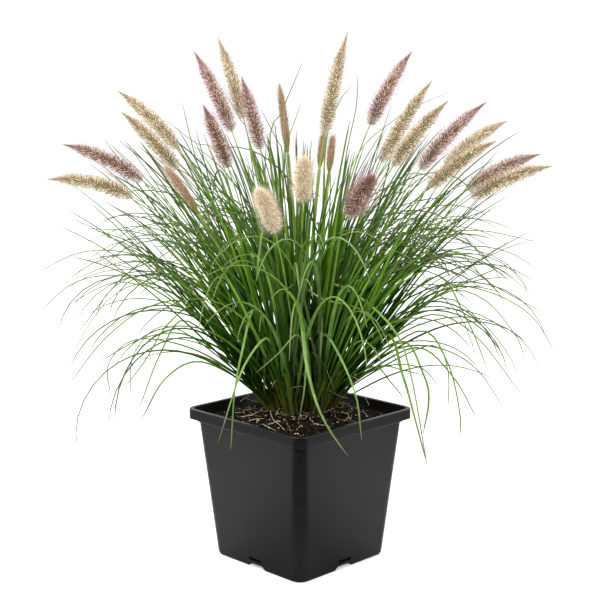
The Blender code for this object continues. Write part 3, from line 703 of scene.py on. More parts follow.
def crumb_tree():
    """Crumbs: small lumps strewn over a surface, each turned and sized at random."""
    tree, given = new_geometry_tree(
        "Strewn Crumbs",
        (
            ("Density", "Float", 20000.0),
            ("Least Size", "Float", 1.0 * MM),
            ("Greatest Size", "Float", 4.0 * MM),
            ("Flatness", "Float", 0.5),
            ("Detail", "Int", 1),
            ("Seed", "Int", 1),
            ("Material", "Material", None),
        ),
    )
    seed = given["Seed"]
    density = arithmetic(tree, "MULTIPLY", given["Density"], attribute(tree, "open_ground"))
    points = add_node(
        tree,
        "GeometryNodeDistributePointsOnFaces",
        {"Mesh": given["Geometry"], "Density": density, "Seed": seed},
        distribute_method="RANDOM",
    )
    lump = add_node(tree, "GeometryNodeMeshIcoSphere", {"Radius": 1.0, "Subdivisions": given["Detail"]})
    turn = add_node(tree, "FunctionNodeRandomValue", {0: (-0.5, -0.5, 0), 1: (0.5, 0.5, math.tau)})
    turn.data_type = "FLOAT_VECTOR"
    tree.links.new(seed, turn.inputs["Seed"])
    size = random_value(tree, 0.0, 1.0, arithmetic(tree, "ADD", seed, 1))
    size = arithmetic(tree, "POWER", size, 2.0)
    spread = arithmetic(tree, "SUBTRACT", given["Greatest Size"], given["Least Size"])
    size = arithmetic(tree, "MULTIPLY_ADD", size, spread, given["Least Size"])
    narrowness = random_value(tree, 0.45, 1.0, arithmetic(tree, "ADD", seed, 2))
    width = arithmetic(tree, "MULTIPLY", size, narrowness)
    height = arithmetic(tree, "MULTIPLY", size, given["Flatness"])
    scale = add_node(tree, "ShaderNodeCombineXYZ", {"X": size, "Y": width, "Z": height}).outputs[0]
    lumps = add_node(
        tree,
        "GeometryNodeInstanceOnPoints",
        {
            "Points": points.outputs["Points"],
            "Instance": lump.outputs["Mesh"],
            "Rotation": turn.outputs[0],
            "Scale": scale,
        },
    ).outputs[0]
    tint = arithmetic(tree, "POWER", random_value(tree, 0.0, 1.0, arithmetic(tree, "ADD", seed, 3)), 2.5)
    lumps = store(tree, lumps, "tint", tint, "INSTANCE")
    real = add_node(tree, "GeometryNodeRealizeInstances", {"Geometry": lumps}).outputs[0]
    rough = add_node(tree, "ShaderNodeTexNoise", {"Scale": 420.0, "Detail": 1.0}, noise_dimensions="3D")
    centred = add_node(
        tree, "ShaderNodeVectorMath", {0: rough.outputs["Color"], 1: (0.5, 0.5, 0.5)}, operation="SUBTRACT"
    ).outputs[0]
    amount = arithmetic(tree, "MULTIPLY", given["Greatest Size"], 0.9)
    push = add_node(tree, "ShaderNodeVectorMath", {0: centred, "Scale": amount}, operation="SCALE").outputs[0]
    real = add_node(tree, "GeometryNodeSetPosition", {"Geometry": real, "Offset": push}).outputs[0]
    end_geometry_tree(tree, real, given["Material"])
    return tree


# ---------------------------------------------------------------- materials


def new_shader_group(name, inputs, outputs):
    """A shader node group with named sockets. Returns it, its inputs and its output node."""
    group = bpy.data.node_groups.new(name, "ShaderNodeTree")
    for label, kind, default in inputs:
        socket = group.interface.new_socket(label, in_out="INPUT", socket_type="NodeSocket" + kind)
        socket.default_value = default
    for label, kind in outputs:
        group.interface.new_socket(label, in_out="OUTPUT", socket_type="NodeSocket" + kind)
    return group, group.nodes.new("NodeGroupInput").outputs, group.nodes.new("NodeGroupOutput")


def blend_colours(tree, share, first, second, kind="MIX"):
    node = tree.nodes.new("ShaderNodeMix")
    node.data_type = "RGBA"
    node.blend_type = kind
    for socket, value in ((node.inputs[0], share), (node.inputs[6], first), (node.inputs[7], second)):
        if isinstance(value, bpy.types.NodeSocket):
            tree.links.new(value, socket)
        else:
            socket.default_value = value
    return node.outputs[2]


def mix_numbers(tree, share, first, second):
    """The first number where share is 0, the second where it is 1."""
    return add_node(tree, "ShaderNodeMix", {0: share, 2: first, 3: second}, data_type="FLOAT").outputs[0]


def mapped(tree, value, low, high, to_low=0.0, to_high=1.0):
    """A value's share of the way from low to high, as a number from to_low to to_high."""
    node = add_node(
        tree,
        "ShaderNodeMapRange",
        {"Value": value, "From Min": low, "From Max": high, "To Min": to_low, "To Max": to_high},
    )
    node.interpolation_type = "SMOOTHSTEP"
    return node.outputs[0]


def noise_at(tree, scale, detail=2.0, stretch=None):
    """Noise in object coordinates, drawn out along X, Y or Z where stretch is given."""
    where = add_node(tree, "ShaderNodeTexCoord").outputs["Object"]
    if stretch:
        where = add_node(tree, "ShaderNodeMapping", {"Vector": where, "Scale": stretch}).outputs[0]
    node = add_node(tree, "ShaderNodeTexNoise", {"Vector": where, "Scale": scale, "Detail": detail})
    return node.outputs["Fac"]


def surface_attribute(tree, name):
    node = add_node(tree, "ShaderNodeAttribute", attribute_name=name, attribute_type="GEOMETRY")
    return node.outputs["Fac"]


def fine_grain_group():
    """Fine grain: a mask and a height that break up any surface at two scales."""
    group, given, result = new_shader_group(
        "Fine Grain",
        (("Scale", "Float", 300.0), ("Strength", "Float", 1.0)),
        (("Height", "Float"), ("Mask", "Float")),
    )
    where = add_node(group, "ShaderNodeTexCoord").outputs["Object"]
    fine = add_node(group, "ShaderNodeTexNoise", {"Vector": where, "Scale": given["Scale"], "Detail": 3.0})
    broad_scale = arithmetic(group, "DIVIDE", given["Scale"], 14.0)
    broad = add_node(group, "ShaderNodeTexNoise", {"Vector": where, "Scale": broad_scale, "Detail": 3.0})
    height = arithmetic(group, "MULTIPLY", fine.outputs["Fac"], given["Strength"])
    group.links.new(height, result.inputs["Height"])
    group.links.new(mapped(group, broad.outputs["Fac"], 0.35, 0.65), result.inputs["Mask"])
    return group


def leaf_tissue_group():
    """Leaf tissue: colour from foot to tip with painted shade low in the clump, veins along it, and each leaf
    a little different.
    """
    group, given, result = new_shader_group(
        "Leaf Tissue",
        (
            ("Foot", "Color", (0.2, 0.15, 0.05, 1)),
            ("Green", "Color", (0.06, 0.16, 0.02, 1)),
            ("Light Green", "Color", (0.14, 0.28, 0.06, 1)),
            ("Bloom", "Color", (0.2, 0.36, 0.12, 1)),
            ("Tip", "Color", (0.22, 0.26, 0.14, 1)),
            ("Along", "Float", 0.5),
            ("Across", "Float", 0.0),
            ("Tint", "Float", 0.5),
            ("Waxiness", "Float", 0.0),
            ("Veins", "Float", 5.0),
        ),
        (("Colour", "Color"), ("Height", "Float"), ("Roughness", "Float")),
    )
    tint = mapped(group, given["Tint"], 0.35, 1.0)
    # The light tint fades toward the foot: painted shade low in the clump.
    tint = arithmetic(group, "MULTIPLY", tint, mapped(group, given["Along"], 0.1, 0.7, 0.3, 1.0))
    tone = blend_colours(group, tint, given["Green"], given["Light Green"])
    # The waxy bloom colour, partly painted light on the blades in front that face the light.
    tone = blend_colours(group, given["Waxiness"], tone, given["Bloom"])
    colour = blend_colours(group, mapped(group, given["Along"], 0.0, 0.24), given["Foot"], tone)
    # The tip colour, which reaches further down the blades round the clump as painted shade on them.
    colour = blend_colours(group, mapped(group, given["Along"], 0.5, 1.0, 0.0, 0.95), colour, given["Tip"])
    where = arithmetic(group, "MULTIPLY", given["Across"], given["Veins"])
    ridge = arithmetic(group, "COSINE", arithmetic(group, "MULTIPLY", where, math.tau))
    midrib = mapped(group, arithmetic(group, "ABSOLUTE", given["Across"]), 0.0, 0.22, 1.0, 0.0)
    streak = arithmetic(group, "MULTIPLY_ADD", ridge, 0.035, 0.0)
    lighter = arithmetic(group, "MULTIPLY_ADD", midrib, 0.16, streak, clamp=True)
    colour = blend_colours(group, lighter, colour, given["Light Green"])
    blotch = noise_at(group, 55.0, 3.0)
    shade = mapped(group, blotch, 0.3, 0.7, 0.78, 1.15)
    # Darker toward the foot and lighter toward the tip: painted shade low in the clump and painted light on
    # the outer blades.
    shade = arithmetic(group, "MULTIPLY", shade, mapped(group, given["Along"], 0.08, 0.8, 0.48, 1.35))
    # Blades of low tint are darker on their lower parts: painted shade deep in the clump.
    painted_depth_shade = mapped(group, given["Tint"], 0.05, 0.5, 0.5, 1.0)
    painted_depth_shade = arithmetic(group, "MAXIMUM", painted_depth_shade, mapped(group, given["Along"], 0.35, 0.7, 0.5, 1.0))
    shade = arithmetic(group, "MULTIPLY", shade, painted_depth_shade)
    shade = add_node(group, "ShaderNodeCombineXYZ", {"X": shade, "Y": shade, "Z": shade}).outputs[0]
    colour = blend_colours(group, 1.0, colour, shade, "MULTIPLY")
    group.links.new(colour, result.inputs["Colour"])
    group.links.new(arithmetic(group, "MULTIPLY_ADD", ridge, 0.3, midrib), result.inputs["Height"])
    group.links.new(mapped(group, blotch, 0.3, 0.7, 0.42, 0.58), result.inputs["Roughness"])
    return group


def plume_tint_group():
    """Plume tint: spikelets coloured from a plume's foot to its tip, darkened toward the core with painted
    shade, and the fuzz round them.
    """
    group, given, result = new_shader_group(
        "Plume Tint",
        (
            ("Foot", "Color", (0.6, 0.5, 0.35, 1)),
            ("Middle", "Color", (0.5, 0.38, 0.2, 1)),
            ("Tip", "Color", (0.3, 0.2, 0.12, 1)),
            ("Heart", "Color", (0.2, 0.14, 0.08, 1)),
            ("Fuzz", "Color", (0.7, 0.6, 0.45, 1)),
        ),
        (("Colour", "Color"),),
    )
    along = surface_attribute(group, "along")
    reach = surface_attribute(group, "reach")
    spikelet = blend_colours(group, mapped(group, along, 0.0, 0.4), given["Foot"], given["Middle"])
    spikelet = blend_colours(group, mapped(group, along, 0.6, 1.0), spikelet, given["Tip"])
    heart = blend_colours(group, mapped(group, along, 0.0, 0.18, 0.6, 0.0), given["Heart"], given["Foot"])
    fibre = surface_attribute(group, "fibre")
    # Spikelets darken toward the core, painted shade deep in the plume; some darker spikelets and dark
    # spikelet tips are their own tone.
    darker = arithmetic(
        group, "MAXIMUM", mapped(group, reach, 0.15, 0.5, 1.0, 0.0), mapped(group, fibre, 0.2, 0.5, 0.8, 0.0)
    )
    darker = arithmetic(group, "MAXIMUM", darker, mapped(group, reach, 0.55, 0.85, 0.0, 0.85))
    spikelet = blend_colours(group, darker, spikelet, heart)
    # Bristles are the heart colour at their feet, partly their own purple-brown and partly painted shade near
    # the core.
    fuzz = blend_colours(group, mapped(group, reach, 0.3, 0.55), given["Heart"], given["Fuzz"])
    colour = blend_colours(group, surface_attribute(group, "fuzz"), spikelet, fuzz)
    shade = mapped(group, fibre, 0.0, 1.0, 0.75, 1.2)
    shade = add_node(group, "ShaderNodeCombineXYZ", {"X": shade, "Y": shade, "Z": shade}).outputs[0]
    colour = blend_colours(group, 1.0, colour, shade, "MULTIPLY")
    group.links.new(colour, result.inputs["Colour"])
    return group


def shader_group(name):
    """The shader node group of that name, built the first time that it is asked for."""
    makers = {
        "Fine Grain": fine_grain_group,
        "Leaf Tissue": leaf_tissue_group,
        "Plume Tint": plume_tint_group,
    }
    return bpy.data.node_groups.get(name) or makers[name]()


def new_material(name):
    """An empty material. Returns it, its node tree and its Principled shader."""
    material = bpy.data.materials.new(name)
    material.use_nodes = True
    return material, material.node_tree, material.node_tree.nodes["Principled BSDF"]


def place_group(tree, name, inputs):
    """Puts a shader node group in a material and gives its inputs their links or values."""
    node = tree.nodes.new("ShaderNodeGroup")
    node.node_tree = shader_group(name)
    for key, value in inputs.items():
        if isinstance(value, bpy.types.NodeSocket):
            tree.links.new(value, node.inputs[key])
        else:
            node.inputs[key].default_value = value
    return node


def bump(tree, shader, height, distance, strength=1.0):
    node = add_node(tree, "ShaderNodeBump", {"Height": height, "Distance": distance, "Strength": strength})
    tree.links.new(node.outputs[0], shader.inputs["Normal"])


def rgba(colour):
    return (*colour[:3], 1)


def plastic_material(settings):
    material, tree, shader = new_material("satin_black_plastic")
    grain = place_group(tree, "Fine Grain", {"Scale": 900.0, "Strength": 1.0})
    dusty = tuple(min(1, channel * 1.3) for channel in settings.colour)
    colour = blend_colours(tree, grain.outputs["Mask"], rgba(settings.colour), rgba(dusty))
    tree.links.new(colour, shader.inputs["Base Color"])
    low, high = settings.roughness - 0.04, settings.roughness + 0.05
    tree.links.new(mapped(tree, grain.outputs["Mask"], 0, 1, low, high), shader.inputs["Roughness"])
    bump(tree, shader, grain.outputs["Height"], 0.05 * MM, 0.5)
    shader.inputs["Specular IOR Level"].default_value = 0.3
    return material


def mix_material(settings):
    material, tree, shader = new_material("bark_mix")
    grain = place_group(tree, "Fine Grain", {"Scale": 700.0, "Strength": 1.0})
    share = arithmetic(tree, "MULTIPLY", grain.outputs["Mask"], 0.3)
    colour = blend_colours(tree, share, rgba(settings.dark), rgba(settings.brown))
    speck = mapped(tree, noise_at(tree, 900.0), 0.66, 0.74)
    colour = blend_colours(tree, speck, colour, rgba(settings.tan))
    tree.links.new(colour, shader.inputs["Base Color"])
    shader.inputs["Roughness"].default_value = 0.95
    shader.inputs["Specular IOR Level"].default_value = 0.08
    bump(tree, shader, grain.outputs["Height"], 0.8 * MM)
    return material


def crumb_material(name, first, second, roughness=0.9):
    """Bark, chips or perlite: each crumb has its own tone between two colours."""
    material, tree, shader = new_material(name)
    grain = place_group(tree, "Fine Grain", {"Scale": 1200.0, "Strength": 1.0})
    tone = blend_colours(tree, surface_attribute(tree, "tint"), rgba(first), rgba(second))
    darker = blend_colours(tree, 1.0, tone, (0.6, 0.6, 0.6, 1), "MULTIPLY")
    colour = blend_colours(tree, grain.outputs["Mask"], darker, tone)
    tree.links.new(colour, shader.inputs["Base Color"])
    shader.inputs["Roughness"].default_value = roughness
    shader.inputs["Specular IOR Level"].default_value = 0.1
    bump(tree, shader, grain.outputs["Height"], 0.3 * MM)
    return material


def leaf_material(name, settings, veins):
    """Leaves and stems, from the settings' colours for foot, green, light green, bloom and tip."""
    material, tree, shader = new_material(name)
    inputs = {
        "Foot": rgba(settings.foot),
        "Green": rgba(settings.green),
        "Light Green": rgba(settings.light_green),
        "Bloom": rgba(settings.bloom),
        "Tip": rgba(settings.tip),
        "Veins": veins,
    }
    for label in ("Along", "Across", "Tint", "Waxiness"):
        source = "bloom" if label == "Waxiness" else label.lower()
        inputs[label] = surface_attribute(tree, source)
    tissue = place_group(tree, "Leaf Tissue", inputs)
    tree.links.new(tissue.outputs["Colour"], shader.inputs["Base Color"])
    tree.links.new(tissue.outputs["Roughness"], shader.inputs["Roughness"])
    bump(tree, shader, tissue.outputs["Height"], 0.12 * MM, 0.6)
    shader.inputs["Specular IOR Level"].default_value = 0.05
    return material


def plume_material(name, foot, middle, tip, heart, fuzz):
    material, tree, shader = new_material(name)
    colours = {"Foot": foot, "Middle": middle, "Tip": tip, "Heart": heart, "Fuzz": fuzz}
    tint = place_group(tree, "Plume Tint", {key: rgba(colour) for key, colour in colours.items()})
    tree.links.new(tint.outputs["Colour"], shader.inputs["Base Color"])
    shader.inputs["Roughness"].default_value = 0.8
    shader.inputs["Specular IOR Level"].default_value = 0.2
    return material


# ---------------------------------------------------------------- the pot


def wall_half(height):
    """Half the pot's outer width at a height below the shoulder."""
    return mix(BASE_HALF, BODY_TOP_HALF, height / SHOULDER_HEIGHT)


def rounded_square(half, radius, height, corner_steps, support=0.0, side_steps=1):
    """One ring: a square with round corners. Each side has a point support past its corners."""
    ring = []
    for corner in range(4):
        start = corner * math.pi / 2
        middle = level_heading(start + math.pi / 4) * (half - radius) * math.sqrt(2)
        arc = [
            middle + level_heading(start + step * math.pi / 2 / corner_steps) * radius
            for step in range(corner_steps + 1)
        ]
        ring.extend(arc)
        along = level_heading(start + math.pi)
        run = 2 * (half - radius)
        if support:
            ring.append(arc[-1] + along * support)
            ring.extend(arc[-1] + along * run * step / side_steps for step in range(1, side_steps))
            ring.append(arc[-1] + along * (run - support))
        else:
            ring.extend(arc[-1] + along * run * step / side_steps for step in range(1, side_steps))
    for point in ring:
        point.z = height
    return ring


def loft(bm, rings):
    """Joins rings of equal counts into a closed body."""
    rows = [[bm.verts.new(point) for point in ring] for ring in rings]
    count = len(rows[0])
    for lower, upper in zip(rows, rows[1:]):
        for i in range(count):
            j = (i + 1) % count
            bm.faces.new((lower[i], lower[j], upper[j], upper[i]))
    bm.faces.new(reversed(rows[0]))
    bm.faces.new(rows[-1])


def softened(profile, steps=3):
    """A profile of (half, height, corner radius, rounding) rows with each corner rounded off."""
    points = []
    for i, row in enumerate(profile):
        spot, rounding = Vector(row[:3]), row[3]
        if rounding == 0:
            points.append(spot)
            continue
        before = Vector(profile[i - 1][:3]) - spot
        after = Vector(profile[i + 1][:3]) - spot
        start = spot + before.normalized() * rounding
        end = spot + after.normalized() * rounding
        for step in range(steps + 1):
            t = step / steps
            points.append(start * (1 - t) ** 2 + spot * 2 * t * (1 - t) + end * t * t)
    return points


def pot_profile():
    """Up the outside, out under the rim, down inside its band, up outside it and over the top."""
    neck = RIM_HALF - RIM_TOP_WIDTH + WALL
    neck_radius = CORNER_RADIUS - (RIM_HALF - neck)
    band_inner = RIM_HALF - LIP_THICKNESS
    band_bottom = POT_HEIGHT - BAND_HEIGHT
    underside = POT_HEIGHT - LIP_THICKNESS
    shoulder = BODY_TOP_HALF + SHOULDER_STEP
    inner_radius = CORNER_RADIUS - LIP_THICKNESS
    return (
        (wall_half(0) - BOTTOM_RADIUS, 0, CORNER_RADIUS - BOTTOM_RADIUS, 0),
        (wall_half(0), 0, CORNER_RADIUS, 0.98 * BOTTOM_RADIUS),
        (BODY_TOP_HALF, SHOULDER_HEIGHT, CORNER_RADIUS, 0.5 * MM),
        (shoulder, SHOULDER_HEIGHT + SHOULDER_STEP / 2, CORNER_RADIUS, 0.9 * MM),
        (neck, underside, neck_radius, 0.5 * MM),
        (band_inner, underside, inner_radius, 0.5 * MM),
        (band_inner, band_bottom, inner_radius, 0.7 * MM),
        (RIM_HALF, band_bottom, CORNER_RADIUS, 1.0 * MM),
        (RIM_HALF, POT_HEIGHT, CORNER_RADIUS, 1.8 * MM),
        (RIM_HALF - RIM_TOP_WIDTH - 1.6 * MM, POT_HEIGHT, neck_radius - 1.6 * MM, 0),
    )


def cavity_profile(shrink):
    """The inside of the pot, set in from its wall and floor by shrink, up to the shoulder."""
    inner_radius = CORNER_RADIUS - WALL - shrink
    floor = FLOOR + shrink
    fillet = BOTTOM_RADIUS - WALL
    return (
        (wall_half(floor) - WALL - shrink - fillet, floor, inner_radius - fillet, 0),
        (wall_half(floor + fillet) - WALL - shrink, floor + fillet, inner_radius, 0),
        (BODY_TOP_HALF - WALL - shrink, SHOULDER_HEIGHT, inner_radius, 0),
    )


def cavity_top_profile():
    neck = RIM_HALF - RIM_TOP_WIDTH
    radius = CORNER_RADIUS - RIM_TOP_WIDTH
    rounding = 1.6 * MM
    return (
        (BODY_TOP_HALF + SHOULDER_STEP - WALL, SHOULDER_HEIGHT + SHOULDER_STEP, radius, 0),
        (neck, POT_HEIGHT - rounding, radius, 0),
        (neck + 0.5 * rounding, POT_HEIGHT - 0.25 * rounding, radius + 0.5 * rounding, 0),
        (neck + 1.3 * rounding, POT_HEIGHT + 0.1 * rounding, radius + rounding, 0),
    )


def profile_body(name, profile, corner_steps, support):
    bm = bmesh.new()
    rings = [rounded_square(half, radius, height, corner_steps, support) for half, height, radius in profile]
    loft(bm, rings)
    bmesh.ops.recalc_face_normals(bm, faces=bm.faces)
    return new_object(name, mesh_from(bm, name))


def recess_bars(name, grow_by):
    """Four bars, one under the middle of each bottom edge, with flared lower sides."""
    low, high = -2 * MM, RECESS_HEIGHT + grow_by
    wide = RECESS_WIDTH / 2 + grow_by
    outline = (
        (-wide - RECESS_FLARE, low),
        (wide + RECESS_FLARE, low),
        (wide + 0.2 * RECESS_FLARE, 0.5 * high),
        (wide - 0.5 * RECESS_FLARE, high),
        (0.5 * RECESS_FLARE - wide, high),
        (-wide - 0.2 * RECESS_FLARE, 0.5 * high),
    )
    bm = bmesh.new()
    for quarter in range(4):
        out = level_heading(quarter * math.pi / 2)
        inner = out * (BASE_HALF - RECESS_DEPTH - grow_by)
        corners = [inner + UP.cross(out) * across + UP * height for across, height in outline]
        face = bm.faces.new([bm.verts.new(corner) for corner in corners])
        extruded = bmesh.ops.extrude_face_region(bm, geom=[face], use_keep_orig=True)
        moved = [item for item in extruded["geom"] if isinstance(item, bmesh.types.BMVert)]
        bmesh.ops.translate(bm, vec=out * (RECESS_DEPTH + grow_by + 2 * WALL), verts=moved)
    bmesh.ops.recalc_face_normals(bm, faces=bm.faces)
    return new_object(name, mesh_from(bm, name))


def slot_bars():
    """Four bars through the wall, one above each recess."""
    bm = bmesh.new()
    for quarter in range(4):
        out = level_heading(quarter * math.pi / 2)
        made = bmesh.ops.create_cube(bm, size=1)["verts"]
        long_way, short_way = 6 * WALL, SLOT_WIDTH
        size = (short_way, long_way, SLOT_HEIGHT) if quarter % 2 else (long_way, short_way, SLOT_HEIGHT)
        bmesh.ops.scale(bm, vec=size, verts=made)
        bmesh.ops.translate(bm, vec=out * BASE_HALF + UP * (SLOT_BOTTOM + SLOT_HEIGHT / 2), verts=made)
    return new_object("slot_bars", mesh_from(bm, "slot_bars"))


def cut_from(thing, cutter):
    """Takes one object away from another for good, and removes the cutter."""
    modifier = thing.modifiers.new("cut", "BOOLEAN")
    modifier.operation = "DIFFERENCE"
    modifier.solver = "EXACT"
    modifier.object = cutter
    bpy.context.view_layer.update()
    mesh = bpy.data.meshes.new_from_object(thing.evaluated_get(bpy.context.evaluated_depsgraph_get()))
    thing.modifiers.clear()
    thing.data = mesh
    bpy.data.objects.remove(cutter)
    return thing


class PotSettings(bpy.types.PropertyGroup):
    colour: FloatVectorProperty(
        name="Plastic",
        description="Colour of the pot's plastic",
        subtype="COLOR",
        size=3,
        default=(0.0055, 0.0055, 0.006),
    )
    roughness: FloatProperty(
        name="Roughness", description="How matt the plastic is", min=0.1, max=0.9, default=0.34
    )
    corner_steps: IntProperty(
        name="Corner Steps", description="Flats that each rounded corner is made of", min=3, default=12
    )


class GRASS_OT_nursery_pot(bpy.types.Operator):
    """Make the square nursery pot, with its folded rim, drain recesses and drain slots"""

    bl_idname = "grass.nursery_pot"
    bl_label = "Nursery Pot"

    def execute(self, context):
        settings = context.scene.grass_pot
        support = 1.5 * MM
        steps = settings.corner_steps
        pot = profile_body("nursery_pot", softened(pot_profile()), steps, support)
        inside = [Vector(row[:3]) for row in cavity_profile(0) + cavity_top_profile()]
        cavity = profile_body("cavity", inside, steps, support)
        cut_from(cavity, recess_bars("bosses", WALL))
        cut_from(pot, cavity)
        cut_from(pot, recess_bars("recesses", 0))
        cut_from(pot, slot_bars())
        pot.data.materials.clear()
        pot.data.materials.append(plastic_material(settings))
        pot.data.shade_smooth()
        pot.data.set_sharp_from_angle(angle=math.radians(38))
        settle(pot, "pot_plastic", "pot")
        return {"FINISHED"}


# ---------------------------------------------------------------- the potting mix


def mound_height(across, along):
    """Height of the potting mix over the pot's floor plane, before its lumps."""
    share = min(1, max(abs(across), abs(along)) / (BODY_TOP_HALF - WALL))
    return mix(MIX_EDGE_HEIGHT, MIX_CROWN_HEIGHT, 1 - share * share)


def ground_height(x, y):
    """Height of the potting mix with the lumps of its bark."""
    spot = Vector((x, y, 0))
    lumps = 1.6 * MM * noise.noise(spot / (17 * MM))
    lumps += 1.3 * MM * noise.noise(spot / (6 * MM) + UP)
    lumps += 0.8 * MM * noise.noise(spot / (2.4 * MM) + UP * 2)
    return mound_height(x, y) + lumps


def mix_body():
    """The mix as one closed body: down inside the pot, and a lumpy surface on top."""
    corner_steps, side_steps, rings_in = 6, 30, 44
    edge = BODY_TOP_HALF + SHOULDER_STEP - WALL - GAP
    radius = CORNER_RADIUS - RIM_TOP_WIDTH
    rings = [
        rounded_square(half, ring_radius, height, corner_steps, side_steps=side_steps)
        for half, height, ring_radius, _ in cavity_profile(GAP)
    ]
    rings.append(
        rounded_square(edge, radius, MIX_EDGE_HEIGHT - 2 * MM, corner_steps, side_steps=side_steps)
    )
    for step in range(rings_in):
        share = 1 - step / rings_in
        half = (edge - 1 * MM) * share
        corner = min(half, max(radius, half * (1 - share)))
        ring = rounded_square(half, corner, 0, corner_steps, side_steps=side_steps)
        for point in ring:
            point.z = ground_height(point.x, point.y)
        rings.append(ring)
    bm = bmesh.new()
    loft(bm, rings)
    bmesh.ops.recalc_face_normals(bm, faces=bm.faces)
    return new_object("potting_mix_surface", mesh_from(bm, "potting_mix_surface"))


def surface_only(body):
    """A copy of the mix's top, with how much room crumbs have at each point."""
    bm = bmesh.new()
    bm.from_mesh(body.data)
    hidden = [face for face in bm.faces if face.normal.z < 0.25 or face.calc_center_median().z < 0.19]
    bmesh.ops.delete(bm, geom=hidden, context="FACES")
    mesh = mesh_from(bm, "mix_top")
    edge = BODY_TOP_HALF - WALL
    crown = place(*CROWN)
    room = []
    for vert in mesh.vertices:
        beside_wall = max(abs(vert.co.x), abs(vert.co.y)) > edge - 2 * MM
        near_crown = (vert.co.xy - crown.xy).length < 22 * MM
        in_front_corner = max(0, (vert.co.x - vert.co.y) * math.sqrt(0.5) / MM - 95) / 7
        room.append(0.0 if beside_wall or near_crown else 1.0 + in_front_corner)
    mesh.attributes.new("open_ground", "FLOAT", "POINT").data.foreach_set("value", room)
    return new_object("mix_top", mesh)


def wandering_root(start, heading, length, lift, dice):
    """A surface root's route: it wanders, dips and rises over the potting mix."""
    count = 12
    points = []
    spot, bearing = Vector(start), heading
    bend = dice.uniform(-0.4, 0.4)
    for i in range(count):
        share = i / (count - 1)
        rise = lift * math.sin(math.pi * share) + 0.5 * MM
        points.append((spot.x, spot.y, ground_height(spot.x, spot.y) + rise))
        bearing += bend + dice.uniform(-0.5, 0.5)
        spot += level_heading(bearing) * length / count
    return points


class MixSettings(bpy.types.PropertyGroup):
    dark: FloatVectorProperty(
        name="Dark", description="Wet bark and peat", subtype="COLOR", size=3, default=(0.006, 0.004, 0.003)
    )
    brown: FloatVectorProperty(
        name="Brown", description="Drier bark", subtype="COLOR", size=3, default=(0.05, 0.029, 0.016)
    )
    tan: FloatVectorProperty(
        name="Tan",
        description="Pale fibres and wood chips",
        subtype="COLOR",
        size=3,
        default=(0.5, 0.34, 0.18),
    )
    roots: IntProperty(name="Roots", description="Surface roots round the crown", min=0, default=46)
    bark_density: FloatProperty(
        name="Bark", description="Bark crumbs on each square metre", min=0, default=42000
    )
    chip_density: FloatProperty(
        name="Chips", description="Tan wood chips on each square metre", min=0, default=2600
    )
    perlite_density: FloatProperty(
        name="Perlite", description="Perlite grains on each square metre", min=0, default=3400
    )


class GRASS_OT_potting_mix(bpy.types.Operator):
    """Fill the pot with bark mix, and strew crumbs, chips, perlite and roots over it"""

    bl_idname = "grass.potting_mix"
    bl_label = "Potting Mix"

    def execute(self, context):
        settings = context.scene.grass_mix
        body = mix_body()
        top = surface_only(body)
        cut_from(body, recess_bars("mix_bosses", WALL + GAP))
        body.data.materials.clear()
        body.data.materials.append(mix_material(settings))
        body.data.shade_smooth()
        settle(body, "potting_mix", "potting_mix")
        self.strew(top, settings)
        self.add_roots(settings)
        return {"FINISHED"}

    def strew(self, top, settings):
        """Crumbs of three kinds on the surface of the mix."""
        tree = crumb_tree()
        bright = (0.72, 0.7, 0.64)
        cream = tuple(min(1, channel * 1.7) for channel in settings.tan)
        kinds = (
            ("bark_crumbs", settings.bark_density, 1.1, 4.6, 0.5, settings.dark, settings.brown, 21),
            ("tan_chips", settings.chip_density, 0.8, 3.4, 0.4, settings.tan, cream, 35),
            ("perlite_grains", settings.perlite_density, 0.6, 1.7, 0.8, bright, (0.86, 0.85, 0.8), 57),
        )
        for name, density, least, greatest, flatness, first, second, seed in kinds:
            source = new_object(name + "_source", top.data.copy())
            mesh = grow(
                source,
                tree,
                name,
                density=float(density),
                least_size=least * MM,
                greatest_size=greatest * MM,
                flatness=flatness,
                seed=seed,
                material=crumb_material(name, first, second),
            )
            settle(new_object(name, mesh), "potting_mix")
        bpy.data.objects.remove(top)

    def add_roots(self, settings):
        """The roots that show in front, and more of them all round the crown."""
        dice = random.Random(5)
        crown = place(*CROWN)
        strands = Strands()
        for places in BARE_ROOTS:
            spots = [seen_on_mix(*spot) for spot in places]
            lift = [UP * height * MM for height in (0.4, *[2.2] * (len(spots) - 2), 0.4)]
            route = smooth_route([spot + rise for spot, rise in zip(spots, lift)], 12)
            half_widths = dice.uniform(0.5, 0.75) * MM * np.linspace(1, 0.55, 13)
            strands.add(route, half_widths, tint=dice.uniform(0.4, 1))
        for number in range(settings.roots):
            heading = number * GOLDEN_ANGLE
            start = crown + level_heading(heading) * dice.uniform(24, 70) * MM
            length = dice.uniform(18, 52) * MM
            bearing = heading + dice.uniform(-1.1, 1.1)
            route = np.array(wandering_root(start, bearing, length, dice.uniform(0.5, 4.0) * MM, dice))
            if np.abs(route[:, :2]).max() > BODY_TOP_HALF - 6 * MM:
                continue
            half_widths = dice.uniform(0.25, 0.55) * MM * np.linspace(1, 0.4, len(route))
            strands.add(route, half_widths, tint=dice.random() ** 1.5)
        material = crumb_material("dry_root", (0.26, 0.17, 0.1), (0.85, 0.74, 0.56))
        mesh = grow(strands.lines("root_lines"), stalk_tree(), "surface_roots", sides=6, material=material)
        settle(new_object("surface_roots", mesh), "potting_mix")


# ---------------------------------------------------------------- arching routes


